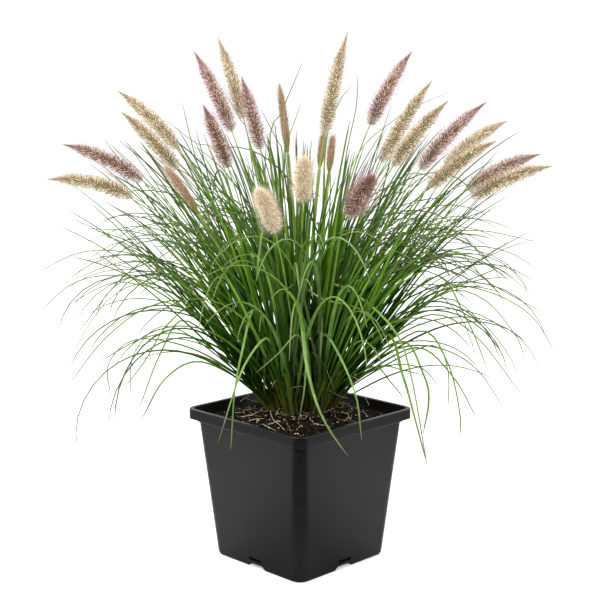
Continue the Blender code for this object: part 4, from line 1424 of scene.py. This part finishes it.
def arch(start, heading, lean, bend, length, count, drift=0.0):
    """Points of a stalk that leans by lean at its start and by bend more at its tip.

    The lean is measured from upright and grows with the square of the way along. drift
    turns the heading by that much from the start to the tip.
    """
    share = (np.arange(count) + 0.5) / count
    angle = lean + bend * share**2
    bearing = heading + drift * share
    step = np.stack((np.cos(bearing) * np.sin(angle), np.sin(bearing) * np.sin(angle), np.cos(angle)), 1)
    points = np.vstack(([0, 0, 0], np.cumsum(step * (length / count), 0)))
    return points + np.array(start)


def arch_to(start, tip, bend, count):
    """The arching stalk of that bend which ends at tip, and its length."""
    unit_tip = arch((0, 0, 0), 0, 0, bend, 1, count)[-1]
    way = Vector(tip) - Vector(start)
    length = way.length / float(np.linalg.norm(unit_tip))
    level = math.hypot(way.x, way.y)
    lean = math.atan2(level, way.z) - math.atan2(unit_tip[0], unit_tip[2])
    return arch(start, math.atan2(way.y, way.x), lean, bend, length, count), length


def smooth_route(points, count):
    """A smooth route through a few points, with count equal steps."""
    spots = np.array(points)
    ends = np.vstack((2 * spots[0] - spots[1], spots, 2 * spots[-1] - spots[-2]))
    fine = []
    for i in range(1, len(ends) - 2):
        before, start, end, after = ends[i - 1 : i + 3]
        for t in np.arange(0, 1, 0.05):
            fine.append(
                0.5
                * (
                    2 * start
                    + (end - before) * t
                    + (2 * before - 5 * start + 4 * end - after) * t**2
                    + (3 * start - 3 * end + after - before) * t**3
                )
            )
    fine = np.array(fine + [spots[-1]])
    run = np.concatenate(([0], np.cumsum(np.linalg.norm(np.diff(fine, axis=0), axis=1))))
    at = np.linspace(0, run[-1], count + 1)
    return np.stack([np.interp(at, run, fine[:, axis]) for axis in range(3)], 1)


def clears_pot(route, margin):
    """True if a route passes over the rim and not through it, the wall or the mix."""
    for start, end in zip(route, route[1:]):
        for share in (0.33, 0.66, 1.0):
            x, y, z = start + (end - start) * share
            out = max(abs(x), abs(y))
            beside_wall = BODY_TOP_HALF - WALL_ZONE < out < RIM_HALF + margin
            if beside_wall and 0 < z < POT_HEIGHT + margin:
                return False
    return True


def hangs_in_front(route):
    """True if a route hangs down in front of the crown or of the rim's two front sides."""
    across, toward = seen_sideways(route)
    low = route[:, 2] < np.where(abs(across) < CROWN_HALF_WIDTH, OVER_CROWN_HEIGHT, OVER_RIM_HEIGHT)
    return bool((low & (toward > FRONT_START) & (abs(across) < FRONT_HALF_WIDTH)).any())


def front_view(points):
    """Where the front view shows points, across and up, and how far away they are."""
    across, toward = seen_sideways(points)
    away = VIEW_DISTANCE - toward
    return np.stack((across / away, (points[:, 2] - VIEW_HEIGHT) / away), 1), away


def plume_lines():
    """Points along all the plumes but for their feet, as the front view shows them."""
    routes = [stem_route(number, 40) for number in range(1, len(PLUMES) + 1)]
    uppers = [route_between(route, mix(bare, 1, 0.22), 1, 8) for _, route, bare in routes]
    return front_view(np.vstack(uppers))


def hides_plume(route, plumes):
    """True if the front view shows a route right in front of a plume."""
    spots, away = front_view(route_between(route, 0.2, 1, 40))
    plume_spots, plume_away = plumes
    near = np.linalg.norm(spots[:, None] - plume_spots[None], axis=2) < PLUME_CLEARANCE / VIEW_DISTANCE
    return bool((near & (away[:, None] < plume_away[None])).any())


# ---------------------------------------------------------------- leaf tufts


class BladeSettings(bpy.types.PropertyGroup):
    shoots: IntProperty(name="Shoots", description="Shoots in each tuft", min=1, default=6)
    blades: IntProperty(
        name="Blades", description="Blades on each shoot round the clump", min=1, default=8
    )
    inner_blades: IntProperty(
        name="Inner Blades", description="Blades on each shoot in its middle", min=1, default=11
    )
    width: FloatProperty(
        name="Width", description="Width of a blade at its widest", unit="LENGTH", default=4.6 * MM
    )
    fold: FloatProperty(
        name="Fold",
        description="How far a blade's edges stand over its midrib, to half its width",
        default=0.8,
    )
    segments: IntProperty(name="Segments", description="Steps along each blade", min=4, default=18)
    foot: FloatVectorProperty(
        name="Foot", description="Sheaths at the soil", subtype="COLOR", size=3, default=(0.2, 0.16, 0.04)
    )
    green: FloatVectorProperty(
        name="Green", description="Darkest blades", subtype="COLOR", size=3, default=(0.011, 0.068, 0.0004)
    )
    light_green: FloatVectorProperty(
        name="Light Green", description="Lightest blades", subtype="COLOR", size=3, default=(0.18, 0.35, 0.02)
    )
    # Bloom is the waxy colour of blades in front, partly painted light on the blades that face the light.
    bloom: FloatVectorProperty(
        name="Bloom", description="Waxy blades in front", subtype="COLOR", size=3, default=(0.2, 0.34, 0.09)
    )
    # The tip colour also stands for painted shade on the dull tips round the clump.
    tip: FloatVectorProperty(
        name="Tip", description="Blade tips", subtype="COLOR", size=3, default=(0.07, 0.085, 0.04)
    )


def level_sides(route):
    """Level directions across a route, which turn with it but don't flip where it is upright."""
    way = np.gradient(np.asarray(route), axis=0)[:, :2]
    way /= np.linalg.norm(np.gradient(np.asarray(route), axis=0), axis=1)[:, None]
    whole = np.array(route[-1][:2]) - np.array(route[0][:2])
    way = way + 0.35 * whole / max(np.linalg.norm(whole), 1 * MM)
    way /= np.maximum(np.linalg.norm(way, axis=1), 0.01)[:, None]
    return np.stack((way[:, 1], -way[:, 0], np.zeros(len(way))), 1)


class Strands:
    """Routes gathered for one swept mesh, with their widths, sides, turns and tones."""

    def __init__(self):
        self.routes = []
        self.values = {"half_width": [], "side": [], "turn": [], "along": [], "tint": [], "bloom": []}

    def add(self, route, half_widths, twist=0.0, along=(0.0, 1.0), tint=0.5, bloom=0.0):
        """Adds one route; along is where it starts and ends on the way from foot to tip."""
        share = np.linspace(0, 1, len(route))
        rows = {
            "half_width": half_widths,
            "side": level_sides(route),
            "turn": share**1.5 * twist,
            "along": mix(along[0], along[1], share),
            "tint": np.full(len(route), tint),
            "bloom": np.full(len(route), bloom),
        }
        self.routes.append(route)
        for name, row in rows.items():
            self.values[name].append(row)

    def lines(self, name):
        return lines_object(name, self.routes, self.values)


def blade_half_widths(count, width):
    """Narrow at the foot, widest a third of the way up, then drawn out to a fine tip."""
    return width / 2 * np.interp(np.linspace(0, 1, count), *zip(*BLADE_OUTLINE))


def tilt(lean, heading):
    """A lean in a heading, as a level vector that can be added to others."""
    return Vector((math.cos(heading), math.sin(heading))) * lean


def shoot_plan(tuft_root, inner, number, settings, dice):
    """One shoot of a tuft: where it stands, and how far it leans over to which side."""
    crown = place(*CROWN)
    spread = (8 if inner else 10) * MM * math.sqrt((number + 0.5) / settings.shoots)
    foot = tuft_root + level_heading(number * GOLDEN_ANGLE) * spread
    away = (foot - crown).xy
    outwardness = min(1.1, away.length / (50 * MM))
    lean = tilt(math.radians(3 + 34 * outwardness), math.atan2(away.y, away.x))
    lean += tilt(math.radians(abs(dice.gauss(0, 5))), dice.uniform(0, math.tau))
    foot.z = ground_height(foot.x, foot.y) - 3 * MM
    return foot, lean


def share_in_front(tip):
    """How far a blade's tip is in front of the clump: 0 behind it and at its sides, up to 1."""
    across, toward = (float(value) for value in seen_sideways(tip))
    share = min(1, max(0, (toward - LIT_FRONT_START) / LIT_FRONT_RISE))
    return share * min(1, max(0, (LIT_FRONT_SIDE - abs(across)) / LIT_FRONT_FADE))


def grow_shoot(strands, sheaths, foot, lean, count, shares, plumes, settings, dice):
    """A shoot's sheath, and its two ranks of blades, of each kind as often as shares say."""
    sheath_length = dice.uniform(35, 95) * MM
    steps = 8
    spine = arch(foot, math.atan2(lean.y, lean.x), lean.length, math.radians(6), sheath_length, steps)
    share = np.linspace(0, 1, steps + 1)
    sheaths.add(spine, mix(2.7 * MM, 1.5 * MM, share), along=(0, 0.16), tint=dice.random())
    plane = dice.uniform(0, math.tau)
    for number in range(count):
        least, most, bends, lengths = dice.choices(BLADE_KINDS, shares)[0]
        side = plane + math.pi * (number % 2) + dice.gauss(0, 0.5)
        for _ in range(TRIES):
            way = lean + tilt(math.radians(dice.uniform(least, most)), side)
            bend = math.radians(dice.uniform(*bends))
            length = dice.triangular(*lengths) * MM
            at = dice.uniform(0.06, 1.0) * steps
            start = [np.interp(at, np.arange(steps + 1), spine[:, axis]) for axis in range(3)]
            heading = math.atan2(way.y, way.x)
            route = arch(start, heading, way.length, bend, length, settings.segments, dice.gauss(0, 0.2))
            reach = float(np.hypot(route[:, 0], route[:, 1]).max())
            heights = route[:, 2]
            within = reach < GREATEST_REACH and LOWEST_TIP < heights.min() and heights.max() < HIGHEST_TIP
            hides = hangs_in_front(route) or hides_plume(route, plumes)
            if within and clears_pot(route, 4 * MM) and not hides:
                break
            side = plane + dice.uniform(0, math.tau)
        else:
            continue
        width = settings.width * dice.uniform(0.7, 1.1)
        half_widths = blade_half_widths(len(route), width)
        # Blades that bend over take the waxy bloom colour in front of the clump, partly painted light where
        # they face the light, and have dull tips round it, painted shade on their undersides.
        over = min(1, bend / 2)
        in_front = share_in_front(route[-1])
        bloom = (dice.uniform(0, 0.12) + 0.75 * in_front) * over
        end = 0.85 + 0.4 * over * (1 - in_front)
        strands.add(route, half_widths, dice.gauss(0, 0.3), (0.12, end), dice.random(), bloom)


def chosen_blades(roots):
    """The blades with chosen routes: (number of the tuft, width, route's points, bloom)."""
    crown = place(*CROWN)
    plans = []
    # The bloom share, 1 for the front blades and less for the clear ones, is partly painted light on blades
    # that face the light.
    for width, points in FRONT_BLADES:
        plans.append((width * MM, [place(*(value * MM for value in point)) for point in points], 1.0))
    for width, toward, places in CLEAR_BLADES:
        count = len(places)
        towards = [toward * MM * (i + 1) / count for i in range(count)]
        spots = [seen_at(*spot, depth) for spot, depth in zip(places, towards)]
        plans.append((width * MM, spots, 0.35))
    for width, spots, bloom in plans:
        away = (spots[-1] - crown).xy.normalized() * OUTER_RING_REACH + crown.xy
        number = min(roots, key=lambda tuft: (roots[tuft].xy - away).length)
        root = roots[number] + UP * ROOT_DEPTH
        rise = root.lerp(spots[0], 0.35) + UP * 12 * MM
        yield number, width, [root, rise, *spots], bloom


def add_dry_strands(material):
    """Withered leaves that hang among the shoots."""
    strands = Strands()
    for number, (toward, places) in enumerate(DRY_STRANDS):
        route = smooth_route([seen_at(*spot, toward * MM) for spot in places], 10)
        half_widths = 0.65 * MM * np.interp(np.linspace(0, 1, 11), (0, 0.3, 1), (0.6, 1, 0.3))
        strands.add(route, half_widths, 1.2, tint=(number % 4) / 4)
    mesh = grow(strands.lines("dry_lines"), blade_tree(), "withered_leaves", fold=0.5, material=material)
    settle(new_object("withered_leaves", mesh), "leaf_green")


class GRASS_OT_leaf_tufts(bpy.types.Operator):
    """Grow the tufts: shoots round the crown, each with its arching blades"""

    bl_idname = "grass.leaf_tufts"
    bl_label = "Leaf Tufts"

    def execute(self, context):
        settings = context.scene.grass_blades
        blades, stalks = blade_tree(), stalk_tree()
        leaf = leaf_material("leaf_blade", settings, veins=5.0)
        sheath = leaf_material("leaf_sheath", settings, veins=0.0)
        crown = place(*CROWN)
        roots = {number: foot_of(f"leaf_tuft_{number:02d}") for number in range(1, 11)}
        chosen, plumes = list(chosen_blades(roots)), plume_lines()
        for number, root in roots.items():
            inner = (root.xy - crown.xy).length < INNER_RING_REACH
            shares = INNER_SHARES if inner else OUTER_SHARES
            count = settings.inner_blades if inner else settings.blades
            dice = random.Random(100 + number)
            strands, sheaths = Strands(), Strands()
            for shoot in range(settings.shoots):
                foot, lean = shoot_plan(root, inner, shoot, settings, dice)
                grow_shoot(strands, sheaths, foot, lean, count, shares, plumes, settings, dice)
            for tuft, width, points, bloom in chosen:
                if tuft == number:
                    route = smooth_route(points, settings.segments + 6)
                    half_widths = blade_half_widths(len(route), width)
                    strands.add(route, half_widths, dice.uniform(-0.3, 0.3), (0.12, 0.95), 0.8, bloom)
            name = f"tuft_of_blades_{number:02d}"
            blade_lines = strands.lines(name + "_lines")
            blade_mesh = grow(blade_lines, blades, name, fold=settings.fold, material=leaf)
            sheath_lines = sheaths.lines(name + "_sheaths")
            sheath_mesh = grow(sheath_lines, stalks, name + "_s", sides=6, material=sheath)
            tuft = joined(name, blade_mesh, sheath_mesh)
            tuft.data.set_sharp_from_angle(angle=math.radians(34))
            settle(tuft, "leaf_green", f"leaf_tuft_{number:02d}")
        add_dry_strands(crumb_material("withered_leaf", (0.4, 0.28, 0.17), (0.68, 0.58, 0.42), 0.7))
        return {"FINISHED"}


def joined(name, *meshes):
    """One object from several plain meshes, each with its own material."""
    things = [new_object(f"{name}_{i}", mesh) for i, mesh in enumerate(meshes)]
    with bpy.context.temp_override(
        active_object=things[0], object=things[0], selected_editable_objects=things, selected_objects=things
    ):
        bpy.ops.object.join()
    things[0].name = name
    things[0].data.name = name
    return things[0]


# ---------------------------------------------------------------- flowering stems and plumes


class StemSettings(bpy.types.PropertyGroup):
    foot_radius: FloatProperty(
        name="Foot Radius", description="Radius at the soil", unit="LENGTH", default=1.5 * MM
    )
    neck_radius: FloatProperty(
        name="Neck Radius", description="Radius under the plume", unit="LENGTH", default=0.75 * MM
    )
    foot: FloatVectorProperty(
        name="Foot", description="Stem at the soil", subtype="COLOR", size=3, default=(0.2, 0.14, 0.03)
    )
    green: FloatVectorProperty(
        name="Green", description="Darkest stems", subtype="COLOR", size=3, default=(0.08, 0.17, 0.02)
    )
    light_green: FloatVectorProperty(
        name="Light Green", description="Lightest stems", subtype="COLOR", size=3, default=(0.15, 0.28, 0.04)
    )
    bloom: FloatVectorProperty(
        name="Bud Stem", description="Stems of the buds", subtype="COLOR", size=3, default=(0.24, 0.36, 0.09)
    )
    tip: FloatVectorProperty(
        name="Neck", description="Stem under the plume", subtype="COLOR", size=3, default=(0.22, 0.26, 0.08)
    )


def stem_route(number, count):
    """A stem's route from its root to its plume's tip, in count steps over the collar.

    Returns the part in the mix, the route over it, and the share of it that is bare stem.
    """
    across, toward, height, plume_length, bend, _ = PLUMES[number - 1]
    foot = foot_of(f"flower_stem_{number:02d}")
    collar = foot + UP * (ROOT_DEPTH + COLLAR_HEIGHT)
    tip = place(across * MM, toward * MM, height * MM)
    route, length = arch_to(collar, tip, math.radians(bend), count)
    return foot, route, 1 - plume_length * MM / length


def route_between(route, first, last, count):
    """Points of a route from one share of it to another."""
    at = np.linspace(first, last, count + 1) * (len(route) - 1)
    return np.stack([np.interp(at, np.arange(len(route)), route[:, axis]) for axis in range(3)], 1)


class GRASS_OT_flower_stems(bpy.types.Operator):
    """Grow the flowering stems, with their joints, from the crown up to the plumes"""

    bl_idname = "grass.flower_stems"
    bl_label = "Flowering Stems"

    def execute(self, context):
        settings = context.scene.grass_stems
        tree = stalk_tree()
        material = leaf_material("culm", settings, veins=0.0)
        dice = random.Random(77)
        for number in range(1, len(PLUMES) + 1):
            foot, route, bare = stem_route(number, 60)
            points = np.vstack((np.array(foot), route_between(route, 0, bare, 40)))
            share = np.linspace(0, 1, len(points))
            radii = mix(settings.foot_radius, settings.neck_radius, share)
            for joint in (0.2, 0.42, 0.66):
                radii = radii * (1 + 0.3 * np.exp(-(((share - joint) / 0.012) ** 2)))
            in_bud = PLUMES[number - 1][-1] == "bud"
            if in_bud:
                radii = radii + 1.7 * MM * np.interp(share, (0.4, 0.75), (0, 1))
            strands = Strands()
            strands.add(points, radii, tint=dice.random(), bloom=0.8 if in_bud else 0.0)
            name = f"culm_{number:02d}"
            mesh = grow(strands.lines(name + "_line"), tree, name, sides=8, material=material)
            settle(new_object(name, mesh), "stem_green", f"flower_stem_{number:02d}")
        return {"FINISHED"}


class PlumeSettings(bpy.types.PropertyGroup):
    ring_spacing: FloatProperty(
        name="Ring Spacing",
        description="From one ring of spikelets to the next",
        unit="LENGTH",
        default=3.1 * MM,
    )
    bristle_spacing: FloatProperty(
        name="Bristle Spacing", description="From one bristle to the next", unit="LENGTH", default=0.075 * MM
    )
    bristle_width: FloatProperty(
        name="Bristle Width", description="Radius of a bristle at its foot", unit="LENGTH", default=0.1 * MM
    )


# Each kind of plume: the colours of its spikelets at the foot, middle and tip, of its heart (partly its own
# dark tone and partly painted shade deep among the spikelets) and of its fuzz; how far spikelets and bristles
# stand out, to the plume's radius; their leans at the foot and tip in degrees; the spikelets' half width in
# mm; and its share of bristles.
PLUME_KINDS = {
    "tan": (
        ((0.95, 0.88, 0.72), (0.94, 0.85, 0.66), (0.42, 0.29, 0.17), (0.42, 0.32, 0.17), (0.75, 0.6, 0.42)),
        (0.9, 1.95),
        (72, 32),
        0.8,
        1.0,
    ),
    "purple": (
        ((0.93, 0.84, 0.74), (0.92, 0.79, 0.62), (0.25, 0.14, 0.11), (0.26, 0.15, 0.09), (0.68, 0.35, 0.48)),
        (0.9, 2.05),
        (72, 32),
        0.8,
        1.25,
    ),
    "pale": (
        ((0.96, 0.89, 0.72), (0.95, 0.85, 0.65), (0.95, 0.84, 0.66), (0.76, 0.62, 0.42), (0.9, 0.78, 0.6)),
        (0.8, 1.5),
        (78, 38),
        0.75,
        2.6,
    ),
    "bud": (
        ((0.3, 0.32, 0.1), (0.5, 0.34, 0.17), (0.56, 0.34, 0.29), (0.38, 0.24, 0.12), (0.66, 0.48, 0.4)),
        (0.8, 1.7),
        (17, 9),
        0.9,
        1.0,
    ),
}


class GRASS_OT_plumes(bpy.types.Operator):
    """Grow the bottlebrush plumes: core, spikelets and bristles"""

    bl_idname = "grass.plumes"
    bl_label = "Plumes"

    def execute(self, context):
        settings = context.scene.grass_plumes
        tree = plume_tree()
        materials = {kind: plume_material("plume_" + kind, *row[0]) for kind, row in PLUME_KINDS.items()}
        for number, (*_, plume_length, _, kind) in enumerate(PLUMES, 1):
            _, route, bare = stem_route(number, 60)
            _, reaches, leans, spikelet_width, fullness = PLUME_KINDS[kind]
            steps = 24
            share = np.linspace(0, 1, steps + 1)
            blunt = number in BLUNT_PLUMES
            outline = np.array(BLUNT_OUTLINE if blunt else PLUME_OUTLINE)
            radius = PLUME_RADIUS[kind] * BLUNT_PLUMES.get(number, 1)
            girth = np.interp(share, outline[:, 0], outline[:, 1]) * radius
            name = f"flower_head_{number:02d}"
            route = route_between(route, bare, mix(bare, 1, BLUNT_LENGTH) if blunt else 1, steps)
            mesh = grow(
                lines_object(name + "_line", [route], {"girth": [girth], "along": [share]}),
                tree,
                name,
                rings=int(plume_length * MM / settings.ring_spacing),
                foot_lean=math.radians(leans[0]),
                tip_lean=math.radians(leans[1]),
                spikelet_reach=reaches[0],
                spikelet_width=spikelet_width * MM,
                bristles=int(plume_length * MM / settings.bristle_spacing * fullness),
                bristle_width=settings.bristle_width,
                bristle_reach=reaches[1],
                seed=number * 20,
                material=materials[kind],
            )
            settle(new_object(name, mesh), "plume_" + kind, f"plume_{number:02d}")
        return {"FINISHED"}


# ---------------------------------------------------------------- the stage


class StageSettings(bpy.types.PropertyGroup):
    floor_colour: FloatVectorProperty(
        name="Floor", description="The pale floor", subtype="COLOR", size=3, default=(0.9, 0.9, 0.9)
    )
    floor_glow: FloatProperty(name="Floor Glow", description="How far the floor is washed out", default=0.35)
    sky_power: FloatProperty(name="Surroundings", description="Light from all round", default=1.1)
    key_power: FloatProperty(name="Key Light", description="Large soft light, in watts", default=38)
    fill_power: FloatProperty(name="Fill Light", description="Softer light opposite, in watts", default=14)


def soft_light(name, spot, aim, size, power):
    light = bpy.data.lights.new(name, "AREA")
    light.shape = "SQUARE"
    light.size = size
    light.energy = power
    lamp = bpy.data.objects.new(name, light)
    bpy.context.scene.collection.objects.link(lamp)
    lamp.location = spot
    lamp.rotation_euler = (Vector(spot) - Vector(aim)).to_track_quat("Z", "Y").to_euler()
    return lamp


class GRASS_OT_stage(bpy.types.Operator):
    """Set the pale floor, the soft studio light and the camera"""

    bl_idname = "grass.stage"
    bl_label = "Stage"

    def execute(self, context):
        settings = context.scene.grass_stage
        self.add_floor(settings)
        self.add_light(context.scene, settings)
        self.add_camera(context.scene)
        return {"FINISHED"}

    def add_floor(self, settings):
        bm = bmesh.new()
        bmesh.ops.create_circle(bm, cap_ends=True, segments=64, radius=6)
        floor = new_object("floor", mesh_from(bm, "floor"))
        material, tree, shader = new_material("pale_floor")
        where = add_node(tree, "ShaderNodeTexCoord").outputs["Object"]
        level = add_node(tree, "ShaderNodeVectorMath", {0: where}, operation="NORMALIZE").outputs[0]
        ahead = add_node(
            tree, "ShaderNodeVectorMath", {0: level, 1: place(0, 1)}, operation="DOT_PRODUCT"
        ).outputs["Value"]
        away = add_node(tree, "ShaderNodeVectorMath", {0: where}, operation="LENGTH").outputs["Value"]
        path = add_node(tree, "ShaderNodeLightPath").outputs
        # In reflections, the floor is dark in front of the pot, and dimmer farther from it.
        wedge = mapped(tree, ahead, 0.5, 0.68)
        wedge = arithmetic(tree, "MULTIPLY", wedge, mapped(tree, away, 0.17, 0.34, 0.3, 0.98))
        bright = arithmetic(tree, "SUBTRACT", 1.0, wedge)
        bright = arithmetic(tree, "MULTIPLY", bright, mapped(tree, away, 0.3, 0.75, 0.74, 0.36))
        bright = arithmetic(tree, "MULTIPLY", bright, mapped(tree, ahead, 0.0, 0.5, 1.1, 0.66))
        kept = mix_numbers(tree, path["Is Glossy Ray"], 1.0, bright)
        grain = place_group(tree, "Fine Grain", {"Scale": 40.0, "Strength": 1.0})
        speckle = mapped(tree, grain.outputs["Mask"], 0, 1, 0.985, 1.0)
        share = arithmetic(tree, "MULTIPLY", speckle, kept)
        colour = blend_colours(tree, share, (0, 0, 0, 1), rgba(settings.floor_colour))
        tree.links.new(colour, shader.inputs["Base Color"])
        shader.inputs["Emission Color"].default_value = (1, 1, 1, 1)
        glow = arithmetic(tree, "MULTIPLY", path["Is Camera Ray"], settings.floor_glow)
        tree.links.new(glow, shader.inputs["Emission Strength"])
        shader.inputs["Roughness"].default_value = 0.9
        shader.inputs["Specular IOR Level"].default_value = 0.0
        floor.data.materials.append(material)
        floor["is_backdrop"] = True

    def add_light(self, scene, settings):
        world = bpy.data.worlds.new("studio")
        scene.world = world
        world.use_nodes = True
        tree = world.node_tree
        background = tree.nodes["Background"]
        direction = add_node(tree, "ShaderNodeTexCoord").outputs["Generated"]
        behind_camera = add_node(
            tree, "ShaderNodeVectorMath", {0: direction, 1: place(0, 1)}, operation="DOT_PRODUCT"
        ).outputs["Value"]
        height = add_node(tree, "ShaderNodeSeparateXYZ", {"Vector": direction}).outputs["Z"]
        path = add_node(tree, "ShaderNodeLightPath").outputs
        # In reflections, it is dark behind the camera and brightest overhead.
        bright = mapped(tree, behind_camera, 0.2, 0.7, 0.85, 0.02)
        bright = arithmetic(tree, "MULTIPLY", bright, mapped(tree, height, 0.3, 0.8, 1.0, 3.0))
        reflected = mix_numbers(tree, path["Is Glossy Ray"], 1.0, bright)
        level = arithmetic(tree, "MULTIPLY", settings.sky_power, reflected)
        level = arithmetic(tree, "MAXIMUM", path["Is Camera Ray"], level)
        background.inputs["Color"].default_value = (1, 1, 1, 1)
        tree.links.new(level, background.inputs["Strength"])
        aim = (0, 0, 0.35)
        soft_light("key", place(-1.3, 1.3, 1.9), aim, 1.2, settings.key_power)
        soft_light("fill", place(1.6, 0.9, 1.2), aim, 1.4, settings.fill_power)
        scene.view_settings.view_transform = "Standard"

    def add_camera(self, scene):
        data = bpy.data.cameras.new("camera")
        data.lens = VIEW_LENS
        data.sensor_width = VIEW_SENSOR
        camera = bpy.data.objects.new("camera", data)
        scene.collection.objects.link(camera)
        camera.location = place(0, VIEW_DISTANCE, VIEW_HEIGHT)
        camera.rotation_euler = (math.pi / 2 - VIEW_PITCH, 0, math.pi / 4)
        scene.camera = camera


# ---------------------------------------------------------------- the add-on


class GRASS_PT_panel(bpy.types.Panel):
    """Fountain grass: one button for each piece, with its settings below it"""

    bl_idname = "GRASS_PT_panel"
    bl_label = "Fountain Grass"
    bl_space_type = "VIEW_3D"
    bl_region_type = "UI"
    bl_category = "Fountain Grass"

    def draw(self, context):
        for operator, group in STEPS:
            box = self.layout.box()
            box.operator(operator.bl_idname)
            if group:
                settings = getattr(context.scene, group)
                for name in settings.bl_rna.properties.keys():
                    if name not in {"rna_type", "name"}:
                        box.prop(settings, name)


# Each operator, in the order in which they run, and the scene's settings that it reads.
STEPS = (
    (GRASS_OT_nursery_pot, "grass_pot"),
    (GRASS_OT_potting_mix, "grass_mix"),
    (GRASS_OT_leaf_tufts, "grass_blades"),
    (GRASS_OT_flower_stems, "grass_stems"),
    (GRASS_OT_plumes, "grass_plumes"),
    (GRASS_OT_stage, "grass_stage"),
)
SETTINGS = {
    "grass_pot": PotSettings,
    "grass_mix": MixSettings,
    "grass_blades": BladeSettings,
    "grass_stems": StemSettings,
    "grass_plumes": PlumeSettings,
    "grass_stage": StageSettings,
}


def register():
    for name, group in SETTINGS.items():
        bpy.utils.register_class(group)
        setattr(bpy.types.Scene, name, PointerProperty(type=group))
    for operator, _ in STEPS:
        bpy.utils.register_class(operator)
    bpy.utils.register_class(GRASS_PT_panel)


def unregister():
    bpy.utils.unregister_class(GRASS_PT_panel)
    for operator, _ in reversed(STEPS):
        bpy.utils.unregister_class(operator)
    for name, group in SETTINGS.items():
        delattr(bpy.types.Scene, name)
        bpy.utils.unregister_class(group)


def main():
    register()
    bpy.ops.grass.nursery_pot()
    bpy.ops.grass.potting_mix()
    bpy.ops.grass.leaf_tufts()
    bpy.ops.grass.flower_stems()
    bpy.ops.grass.plumes()
    bpy.ops.grass.stage()
    visual_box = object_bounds()
    sizes = {"cad": CAD_BOX, "visual": visual_box}
    {name: [list(corner) for corner in box] for name, box in sizes.items()}


if __name__ == "__main__":
    main()
